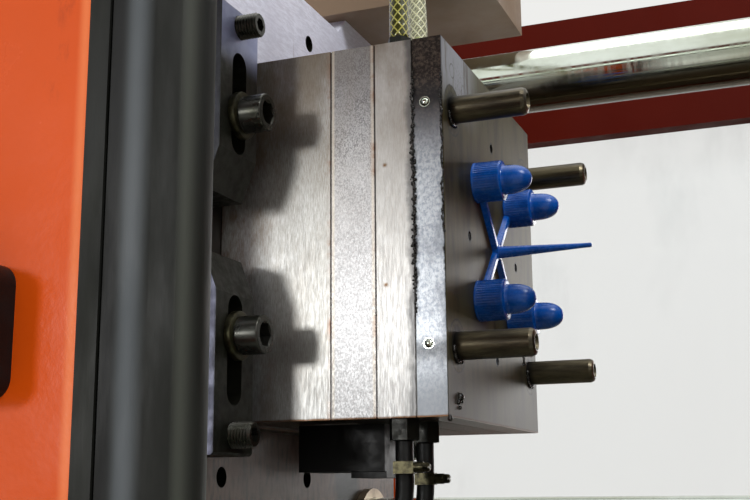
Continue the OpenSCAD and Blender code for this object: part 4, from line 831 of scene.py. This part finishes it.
# %% Socket head cap screw
HEAD_FOOT = CLAMP_FACE + WASHER_T
HEAD_R, HEAD_H, SHANK_R, SHANK_L = 0.015, 0.020, 0.010, 0.105
UNDERCUT, UNDER_HEAD = 0.0008, 0.0012
head_middle = HEAD_FOOT + UNDER_HEAD / 2 + HEAD_H / 2
socket_screw = rod(HEAD_R, HEAD_H - UNDER_HEAD, (head_middle, *SCREW_AT), "X", 72)
pick_side("X", -1)
inset(UNDERCUT)
push(x=-UNDER_HEAD)
inset(HEAD_R - UNDERCUT - SHANK_R)
push(x=-SHANK_L)
pick(lambda a, b: min(a.x, b.x) > HEAD_FOOT + HEAD_H - 0.0005 and abs(a.x - b.x) < TINY, "edges")
bevel(0.0015, 3)
pick(lambda a, b: abs(a.x - b.x) < TINY and off_axis(a) > HEAD_R - NEAR and a.x < HEAD_FOOT + 0.002, "edges")
bevel(0.0004)
HEX_R, HEX_DEPTH = 0.0098, 0.011
cut(socket_screw, rod(HEX_R, 2 * HEX_DEPTH, (HEAD_FOOT + HEAD_H, *SCREW_AT), "X", 6))
cut(socket_screw, start("cone", vertices=48, radius1=0.0088, radius2=0.0108, depth=0.0016, rotation=TURN["X"],
                        location=(HEAD_FOOT + HEAD_H - 0.0002, *SCREW_AT)))
done(socket_screw, "clamp_screw_upper_near", oiled_black, "moving_unit", "black_oxide")

# %% Threaded heel screw
PITCH, THREAD_DEPTH, HEEL_L, DRAWN_R = 0.0025, 0.0014, 0.083, 0.001
thread = start("circle", vertices=3, radius=DRAWN_R, fill_type="NOTHING")
pick(lambda a, b: a.y < 0 and b.y < 0, "edges")
bpy.ops.mesh.delete(type="EDGE")
pick(lambda at: True, "verts")
bpy.ops.transform.resize(value=(PITCH / (DRAWN_R * math.sqrt(3)), THREAD_DEPTH / (DRAWN_R * 1.5), 1))
bpy.ops.transform.translate(value=(0, SHANK_R - THREAD_DEPTH + THREAD_DEPTH / 3, 0))
bpy.ops.object.mode_set(mode="OBJECT")
apply_modifier(thread, "SCREW", axis="X", screw_offset=PITCH, iterations=int(HEEL_L / PITCH) + 4, steps=28,
               render_steps=28)
bpy.ops.object.mode_set(mode="EDIT")
bpy.ops.mesh.select_all(action="SELECT")
bpy.ops.mesh.remove_doubles(threshold=0.00002)
bpy.ops.mesh.select_all(action="SELECT")
bpy.ops.mesh.fill_holes(sides=0)
bpy.ops.mesh.normals_make_consistent(inside=False)
bpy.ops.mesh.select_all(action="SELECT")
low_end = min(v.co.x for v in bmesh.from_edit_mesh(thread.data).verts)
bpy.ops.transform.translate(value=(PLATEN_FACE - 0.004 - low_end, *HEEL_AT))
blank = rod(SHANK_R + 0.0002, HEEL_L, (PLATEN_FACE + HEEL_L / 2, *HEEL_AT), "X", 56)
pick_side("X")
bevel(0.0016)
cut(thread, blank, "INTERSECT")
cut(thread, rod(0.0058, 0.018, (PLATEN_FACE + HEEL_L, *HEEL_AT), "X", 6))
done(thread, "heel_screw_upper_near", oiled_black, "moving_unit", "black_oxide", 28)

# %% The other three clamps
for corner, flip in (("lower_near", (1, 1, -1)), ("upper_far", (1, -1, 1)), ("lower_far", (1, -1, -1))):
    for piece, name in ((washer, "clamp_washer_"), (socket_screw, "clamp_screw_"), (thread, "heel_screw_")):
        again(piece, name + corner, flip=flip, about=(0, 0, AXIS_Z))
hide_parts("clamp_screws")

# %% [markdown]
# ## Plugs and grease on the mould
# Two small ball plugs close the cooling drillings in the stripper plate's near side, each a disc with
# a recess and a domed ball: faces are inset and extruded with a resize between, as on a lathe. Grease
# has squeezed out of the joint beside them in black crumbs. A texture could darken the joint, but the
# crumbs catch light, so small balls are scattered along it, melted together by a Remesh modifier and
# smoothed. The seed is fixed, so they fall in the same places each time.

# %% Ball plugs
PLUG_X, PLUG_HIGH, PLUG_LOW = -0.4145, 1.296, 1.105
plug = rod(0.0044, 0.0012, (PLUG_X, MOULD_SIDE_Y, PLUG_HIGH), "Y", 40)
pick_side("Y", -1)
inset(0.0008)
push(y=0.0007)
inset(0.0004)
grow("Y", (-0.0006, 0.96), (-0.0006, 0.86), (-0.0005, 0.68), (-0.0003, 0.4))
done(plug, "ball_plug_upper", chrome, "ejector_unit", "stripper_steel", 40)
again(plug, "ball_plug_lower", move=(0, 0, PLUG_LOW - PLUG_HIGH))

# %% Grease
grease_black = two_tone("black_grease", srgb(18, 16, 14), srgb(14, 13, 12), srgb(44, 40, 34), 0.003, detail=3,
                        roughness=0.22)
uneven(0.14, 0.4, 0.002, detail=3)


def grease_line(name, spots, size, body="ejector_unit", voxel=0.0005):
    """Small balls at the spots, melted into one lumpy bead."""
    bpy.ops.object.select_all(action="DESELECT")
    crumbs = []
    for at, radius in spots:
        bpy.ops.mesh.primitive_ico_sphere_add(subdivisions=2, radius=radius * size, location=at)
        crumbs.append(bpy.context.object)
    for crumb in crumbs:
        crumb.select_set(True)
    bpy.context.view_layer.objects.active = crumbs[0]
    bpy.ops.object.join()
    bead = bpy.context.object
    bpy.ops.object.transform_apply(location=True, rotation=True, scale=True)
    apply_modifier(bead, "REMESH", mode="VOXEL", voxel_size=voxel)
    apply_modifier(bead, "SMOOTH", factor=0.5, iterations=2)
    done(bead, name, grease_black, body, "black_rubber", 60)


scatter = random.Random(41)
spots = []
z, side_y = 1.322, MOULD_SIDE_Y - 0.0004
while z > 1.128:
    wide = 0.6 + 0.8 * math.sin((1.322 - z) / 0.194 * math.pi)
    for _ in range(2):
        x = CORE_END + 0.0003 + scatter.uniform(-0.0018, 0.0012) * wide
        spots.append(((x, side_y, z + scatter.uniform(-0.001, 0.001)),
                      scatter.uniform(0.35, 1.1) * (0.7 + 0.25 * wide)))
    z -= 0.0021
grease_line("grease_at_stripper_joint", spots, 0.0013)
spots = []
z, side_y = 1.318, MOULD_SIDE_Y - 0.0002
while z > 1.19:
    x = PARTING_X - 0.0012 + 0.0007 * math.sin(z * 260) + scatter.uniform(-0.0007, 0.0003)
    spots.append(((x, side_y, z), scatter.uniform(0.5, 1.1)))
    z -= 0.0017
grease_line("grease_at_parting_edge", spots, 0.0012)
spots = []
for up_or_down, side, first, last in ((1, -1, 200, 340), (-1, -1, 190, 350), (-1, 1, 180, 300)):
    y, z = side * PIN_AT[0], AXIS_Z + up_or_down * PIN_AT[1]
    for degrees in range(first, last, 9):
        turn = math.radians(degrees)
        reach = 0.0122 + scatter.uniform(-0.0004, 0.0012)
        at = (PARTING_X + 0.0008, y + reach * math.cos(turn), z + reach * math.sin(turn))
        spots.append((at, scatter.uniform(0.6, 1.5)))
for y, z, size in ((-0.113, 1.066, 2.8), (-0.1165, 1.062, 1.7), (-0.109, 1.063, 1.5), (-0.113, 1.058, 1.3)):
    spots.append(((PARTING_X + 0.0004, y, z), size))
grease_line("grease_on_parting_face", spots, 0.0013)
DRIP_AT = (-0.3485, -PIN_AT[0])
spots = [((*DRIP_AT, 1.0941 - 0.0011 * k), 1.0 - 0.05 * k) for k in range(5)]
spots.append(((*DRIP_AT, 1.0885), 1.35))
grease_line("grease_drip_under_pin", spots, 0.0011, "moving_unit", 0.0004)
spots = []
for _ in range(12):
    x = min(PARTING_X + 0.002 + scatter.uniform(-0.004, 0.010), PARTING_X + 0.0005)
    z = MOULD_UNDERSIDE_Z - 0.0002 - scatter.uniform(0, 0.0016)
    spots.append(((x, MOULD_SIDE_Y + 0.0015, z), scatter.uniform(0.7, 1.7)))
grease_line("grease_under_stripper", spots, 0.0013)

# %% [markdown]
# ## Hose tails and worm screws
# In the clear hose the end of its hose tail shows as a pale ribbed plug. It is a cylinder whose top
# face is extruded and resized step by step into saw-tooth ribs and a round nose. Each worm clamp has
# a hexagon screw head with a slot; the slot is a Boolean cut.

# %% Hose tail inside the clear hose
TAIL_FOOT, RIB = 1.3585, 1.18
tail_plastic = two_tone("pale_green_tail", srgb(176, 186, 96), srgb(188, 198, 110), srgb(140, 150, 66), 0.006,
                        detail=3, roughness=0.3)
tail = rod(0.0052, 0.002, (-0.441, -0.076, TAIL_FOOT + 0.001), sides=36)
pick_side("Z", 1)
for rib in range(3):
    widen("Z", RIB)
    push(z=0.0035)
    widen("Z", 1 / RIB)
grow("Z", (0.003, 0.95), (0.0025, 0.82), (0.0018, 0.62), (0.0008, 0.4))
done(tail, "hose_tail_b", tail_plastic, "moving_unit", "pale_braided_hose", 30)

# %% Worm screw heads
WORM_AT = (-0.135, 1.0135)
worm = rod(0.0040, 0.004, (-0.420, *WORM_AT), "X", 6)
pick_side("X", 1)
bevel(0.0005)
pick_side("X", 1, 0.99)
grow("X", (0.001, 0.7))
groove = start("cube", size=1, location=(-0.4165, *WORM_AT))
bpy.ops.transform.resize(value=(0.003, 0.012, 0.0011), center_override=(-0.4165, *WORM_AT))
cut(worm, groove)
done(worm, "worm_screw_a", zinc, "moving_unit", "clip_zinc")
again(worm, "worm_screw_b", move=(0, 0.048, -0.008))

# %% [markdown]
# ## The moulded shot
# What the machine has just made: four blue screw caps still joined to their runner and sprue. A cap
# turned in one go would be a Spin of its outline; here the disc at its foot is extruded up step by
# step, because then every other side face of the skirt can be picked and raised into a grip rib. The
# inside is a Boolean cut with a smaller body of the same outline, for the cap sits on its core pin.

# %% Caps
CAP_Y, CAP_Z = CAP_AT
SKIRT_R, SKIRT_H, NOSE_R, CAP_H, SKIRT_SIDES = 0.0171, 0.0243, 0.0122, 0.048, 96
HOLLOW_R, HOLLOW_H, NOSE_HOLLOW = 0.0159, 0.0195, 0.0268


def nose_steps(foot, radius, length, steps=12):
    """Heights and radii of a blunt bullet nose, from its foot to just short of its tip."""
    for k in range(1, steps + 1):
        t = math.sin(k / (steps + 0.6) * math.pi / 2)
        yield foot + t * length, radius * (1 - t ** 3) ** 0.5


def raised(radius, foot, stages, sides=SKIRT_SIDES):
    """A disc across the clamping axis whose front face is pushed up through stages of (height, radius)."""
    height, wide = stages[0]
    body = rod(radius, height, (foot + height / 2, -CAP_Y, AXIS_Z + CAP_Z), "X", sides)
    pick_side("X", 1)
    for up, r in stages[1:]:
        grow("X", (up - height, r / wide))
        height, wide = up, r
    return body


def every_other_side(middle, normal):
    """Picks each second face round the straight part of the skirt."""
    turn = math.atan2(middle.z - AXIS_Z - CAP_Z, middle.y + CAP_Y) / math.tau * SKIRT_SIDES
    straight = abs(normal.x) < 0.1 and PARTING_X + 0.003 < middle.x < PARTING_X + 0.022
    return straight and int(turn + SKIRT_SIDES) % 2 == 0


skirt = [(0.0016, SKIRT_R), (0.0020, SKIRT_R - 0.0003), (0.0226, SKIRT_R - 0.0003),
         (0.0236, SKIRT_R - 0.0005), (SKIRT_H, SKIRT_R - 0.0018), (SKIRT_H, NOSE_R + 0.0004),
         (SKIRT_H + 0.0006, NOSE_R)]
nose = nose_steps(SKIRT_H + 0.0006, NOSE_R, CAP_H - SKIRT_H - 0.0006)
cap = raised(SKIRT_R, PARTING_X, skirt + list(nose))
pick(every_other_side)
bpy.ops.mesh.extrude_region_shrink_fatten(TRANSFORM_OT_shrink_fatten={"value": 0.00022})
inside = [(HOLLOW_H, HOLLOW_R), (HOLLOW_H + 0.0001, NOSE_R - 0.0012)]
inside += nose_steps(HOLLOW_H + 0.0001, NOSE_R - 0.0014, NOSE_HOLLOW)
cut(cap, raised(HOLLOW_R, PARTING_X - 0.0002, [(up + 0.0002, r) for up, r in inside], 48))
done(cap, "blue_cap_1", blue, "ejector_unit", "blue_plastic", 40)
for k, (y, z) in enumerate(((2, 0), (0, -2), (2, -2)), 2):
    again(cap, f"blue_cap_{k}", move=(0, y * CAP_Y, z * CAP_Z))
print("a cap measures", [round(v, 4) for v in cap.dimensions], "m")

# %% Runner and sprue
LEG_W, LEG_T, GATE_R = 0.0078, 0.0048, 0.0062
reach = math.hypot(CAP_Y, CAP_Z) - SKIRT_R + 0.0006
slope = math.atan2(CAP_Z, CAP_Y)
leg = block((PARTING_X + LEG_T / 2, reach / 2, AXIS_Z), (LEG_T, reach, LEG_W))
pick_side("X", 1)
bpy.ops.transform.resize(value=(1, 1, 0.7))
pick_side("X", 1)
bevel(0.0009, 3)
bpy.ops.object.mode_set(mode="OBJECT")
bpy.context.scene.cursor.location = (0, 0, AXIS_Z)
bpy.ops.object.origin_set(type="ORIGIN_CURSOR")
legs = [leg]
for angle in (math.pi - slope, math.pi + slope, -slope):
    bpy.ops.object.duplicate()
    legs.append(bpy.context.object)
    legs[-1].rotation_euler = (angle, 0, 0)
leg.rotation_euler = (slope, 0, 0)
sprue = rod(GATE_R, 0.0052, (PARTING_X + 0.0026, 0, AXIS_Z), "X", 48)
pick_side("X", 1)
inset(0.0008)
grow("X", (0.0006, 0.97), (0.072, 0.40), (0.0068, 0.95), (0.0002, 0.84), (0.0009, 1.0))
bpy.ops.object.mode_set(mode="OBJECT")
for one in legs:
    one.select_set(True)
bpy.context.view_layer.objects.active = sprue
bpy.ops.object.join()
done(sprue, "runner_and_sprue", blue, "ejector_unit", "blue_plastic", 40)
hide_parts("moulded_shot")

# %% [markdown]
# ## Gaskets round the panes
# Each pane is held by a black rubber profile that laps over the edge of its opening. It is a flat
# plate whose two large faces are inset by the same amount and bridged, which leaves a mitred frame;
# the outer edges are bevelled. Extruding a line round a curve would do as well, but the frame is
# square-cornered and this keeps its corners exact.

# %% Window gaskets
GASKET_T, LAP, LIP = 0.004, 0.010, 0.002
gasket_rubber = two_tone("gasket_rubber", srgb(20, 20, 19), srgb(20, 20, 19), srgb(36, 35, 32), 0.04,
                         roughness=0.6)


def gasket(name, x, z, face, out, body):
    """A frame round the opening x by z, on a sheet face that points out (-1 or 1)."""
    middle = ((x[0] + x[1]) / 2, face + out * GASKET_T / 2, (z[0] + z[1]) / 2)
    piece = block(middle, (x[1] - x[0] + 2 * LAP, GASKET_T, z[1] - z[0] + 2 * LAP))
    pick_side("Y")
    ring_out(LAP + LIP)
    pick(lambda a, b: (a.y - middle[1]) * out > 0.001 and (b.y - middle[1]) * out > 0.001, "edges")
    bevel(0.0012, 2)
    done(piece, name, gasket_rubber, body, "black_rubber")


gasket("door_window_gasket", (-0.9865, -0.4865), (0.950, 1.475), -0.575, -1, "front_door")
gasket("guard_window_gasket", (-0.9865, -0.4865), (0.950, 1.444), -0.540, -1, "base")
gasket("rear_window_gasket", (-0.690, -0.170), (0.950, 1.475), 0.575, 1, "back_door")

# %% [markdown]
# ## Screen, keys and screws
# The control panel gets a recessed screen in a frame and a field of plain keys. One key and one
# dome-headed screw are modelled; Array modifiers repeat them in rows, which is how a punched sheet
# is laid out, so a change of pitch is one number.


# %% Rows of one piece
def rows(piece, *repeats):
    """Repeats a piece by Array modifiers; each repeat is (count, (x, y, z) step in metres)."""
    bpy.ops.object.mode_set(mode="OBJECT")
    for count, pitch in repeats:
        apply_modifier(piece, "ARRAY", count=count, use_relative_offset=False, use_constant_offset=True,
                       constant_offset_displace=pitch)


# %% Screen and keys
screen_glass = new_finish("screen_glass", srgb(16, 26, 34), roughness=0.08)
use(Roughness=ease(noise(0.03, detail=5), 0.4, 0.75, 0.06, 0.3))
key_plastic = two_tone("key_plastic", srgb(126, 130, 132), srgb(130, 134, 136), srgb(92, 92, 90), 0.02, 0.45,
                       roughness=0.4)
SCREEN_X, SCREEN_Z = 0.410, 1.470
screen_frame = block((SCREEN_X, -0.5775, SCREEN_Z), (0.156, 0.007, 0.106))
pick_side("Y", -1)
bevel(0.002, 2)
pick_side("Y", -1, 0.99)
inset(0.008)
push(y=0.0025)
done(screen_frame, "screen_frame", black_plastic, "base", "panel_grey")
glass = block((SCREEN_X, -0.5790, SCREEN_Z), (0.1355, 0.0012, 0.0855))
pick_side("Y", -1)
bevel(0.0004)
done(glass, "screen_glass", screen_glass, "base", "panel_grey")
key = block((0.346, -0.5780, 1.400), (0.022, 0.006, 0.012))
pick_side("Y", -1)
bevel(0.0016, 3)
rows(key, (5, (0.032, 0, 0)), (3, (0, 0, -0.018)))
done(key, "panel_keys", key_plastic, "base", "panel_grey")


# %% Dome-headed screws
def dome_screws(name, x, z, face, columns, lines):
    """Columns and lines of button heads 11 mm across on a sheet face, which points away from Y 0."""
    out = math.copysign(1, face)
    screw = rod(0.0055, 0.001, (x, face + out * 0.0005, z), "Y", 28)
    pick_side("Y", out)
    grow("Y", (out * 0.0010, 0.94), (out * 0.0008, 0.84), (out * 0.0005, 0.72))
    inset(0.0009)
    push(y=-out * 0.0016)
    rows(screw, (columns[0], (columns[1], 0, 0)), (lines[0], (0, 0, lines[1])))
    done(screw, name, oiled_black, "base", "black_oxide")


GUARD_Y, PANEL_Y = 0.540, 0.583
for name, x, face, pitch in (("front", 0.251, -GUARD_Y, 0.353), ("rear", 0.251, GUARD_Y, 0.353),
                             ("front_left", -1.870, -GUARD_Y, 0.813),
                             ("rear_left", -1.870, GUARD_Y, 1.10)):
    dome_screws("guard_screws_" + name, x, 0.835, face, (2, pitch), (5, 0.19))
for side, face in (("front", -PANEL_Y), ("rear", PANEL_Y)):
    for end, x0, x1 in (("left", -1.860, -0.600), ("right", 0.0, 1.860)):
        dome_screws(f"panel_screws_{side}_{end}", x0, 0.140, face, (4, (x1 - x0) / 3), (2, 0.620))

# %% [markdown]
# ## Bolts of the hopper, heaters and feet
# The hopper stands on four hexagon bolts, each heater band has two porcelain terminals, and a nut
# locks each levelling foot. A cylinder with six sides is a bolt head once its rim is bevelled.

# %% Hopper bolts, heater terminals and foot nuts
HOPPER_X, BOLT_OUT = 0.990, 0.041
bolt = rod(0.0095, 0.0070, (HOPPER_X + BOLT_OUT, -BOLT_OUT, 1.3755), sides=6)
pick_side("Z", 1)
bevel(0.0012)
pick_side("Z", 1, 0.99)
inset(0.0006)
push(z=0.0003)
done(bolt, "hopper_bolt_1", zinc, "carriage", "clip_zinc")
for k, flip in enumerate(((-1, 1, 1), (1, -1, 1), (-1, -1, 1)), 2):
    again(bolt, f"hopper_bolt_{k}", flip=flip, about=(HOPPER_X, 0, 0))
porcelain = two_tone("white_porcelain", srgb(226, 222, 210), srgb(228, 224, 212), srgb(170, 156, 132),
                     0.012, 0.45, roughness=0.25)
terminal = rod(0.0075, 0.006, (0.272, 0, 1.299), sides=28)
pick_side("Z", 1)
grow("Z", (0.002, 0.88), (0.004, 0.95), (0.001, 0.8))
inset(0.0014)
push(z=0.006)
rows(terminal, (2, (0.026, 0, 0)), (5, (0.130, 0, 0)))
done(terminal, "heater_terminals", porcelain, "carriage", "heater_steel")
FEET_X, FEET_Y = (-1.780, -0.6408, 0.6408, 1.780), (-0.520, 0.520)
nut = rod(0.0235, 0.0130, (FEET_X[0], FEET_Y[0], 0.0407), sides=6)
pick_side("Z")
bevel(0.0015)
pick_side("Z", flat=0.99)
ring_out(0.0055)
done(nut, "foot_nut_1", zinc, "base", "clip_zinc")
for k, (x, y) in enumerate([(x, y) for x in FEET_X for y in FEET_Y][1:], 2):
    again(nut, f"foot_nut_{k}", move=(x - FEET_X[0], y - FEET_Y[0], 0))

# %% [markdown]
# ## Floor and light
# A plain pale floor and soft lamps. The main light stands to the left of the machine's front and low,
# so it shines through the open door's window and throws the screws' shadows to the right, as in the
# photograph. Larger, weaker lamps fill the rest, and the world is an even grey that shows near white
# to the camera, through panes and in what shines. Its nodes are made by the helpers for finishes.

# %% Floor
bpy.ops.object.select_all(action="DESELECT")
bpy.ops.mesh.primitive_plane_add(size=40, location=(0, 0, 0))
floor = bpy.context.object
floor.name = "floor"
floor.data.materials.append(new_finish("pale_floor", srgb(236, 235, 230), roughness=0.7))


# %% Lamps
def soft_lamp(name, place_at, look_at, size, watts, colour=(1, 1, 1)):
    """A square area lamp that faces a point."""
    data = bpy.data.lights.new(name, "AREA")
    data.size, data.energy, data.color = size, watts, colour
    lamp = bpy.data.objects.new(name, data)
    bpy.context.scene.collection.objects.link(lamp)
    lamp.location = place_at
    lamp.rotation_euler = (Vector(look_at) - Vector(place_at)).to_track_quat("-Z", "Y").to_euler()


soft_lamp("window_light", (-1.72, -3.24, 1.42), (-0.45, -0.14, 1.20), 0.4, 25.5, (1.0, 1.0, 0.99))
soft_lamp("right_fill", (3.4, -3.6, 3.2), (0.2, 0, 1.0), 2.5, 36)
soft_lamp("high_right_light", (1.2, -1.2, 3.4), (-0.6, 0.0, 1.45), 1.0, 60, (0.96, 0.97, 1.0))
soft_lamp("top_light", (-0.2, 0.4, 4.6), (-0.2, 0, 1.0), 3.0, 45)
soft_lamp("rear_right_light", (0.65, 4.0, 1.75), (-0.38, 0.0, 1.15), 1.2, 30)
soft_lamp("rear_left_fill", (-3.4, 3.6, 3.0), (-0.6, 0, 1.0), 2.5, 45)

# %% World
world = bpy.data.worlds.new("studio")
bpy.context.scene.world = world
world.use_nodes = True
world.node_tree.nodes.clear()
finish = world
rays = step("LightPath").outputs
seen = maths("MAXIMUM", rays["Is Camera Ray"], rays["Is Transmission Ray"])
seen = maths("MAXIMUM", seen, rays["Is Glossy Ray"])
grey = step("Background", {"Color": (1.0, 1.0, 0.93, 1), "Strength": 0.47}).outputs[0]
white = step("Background", {"Color": (0.93, 0.93, 0.91, 1), "Strength": 0.92}).outputs[0]
step("OutputWorld", {"Surface": step("MixShader", {"Fac": seen, 1: grey, 2: white}).outputs[0]})
bpy.context.scene.view_settings.view_transform = "Standard"

# %% Clear the selection
bpy.ops.object.select_all(action="DESELECT")
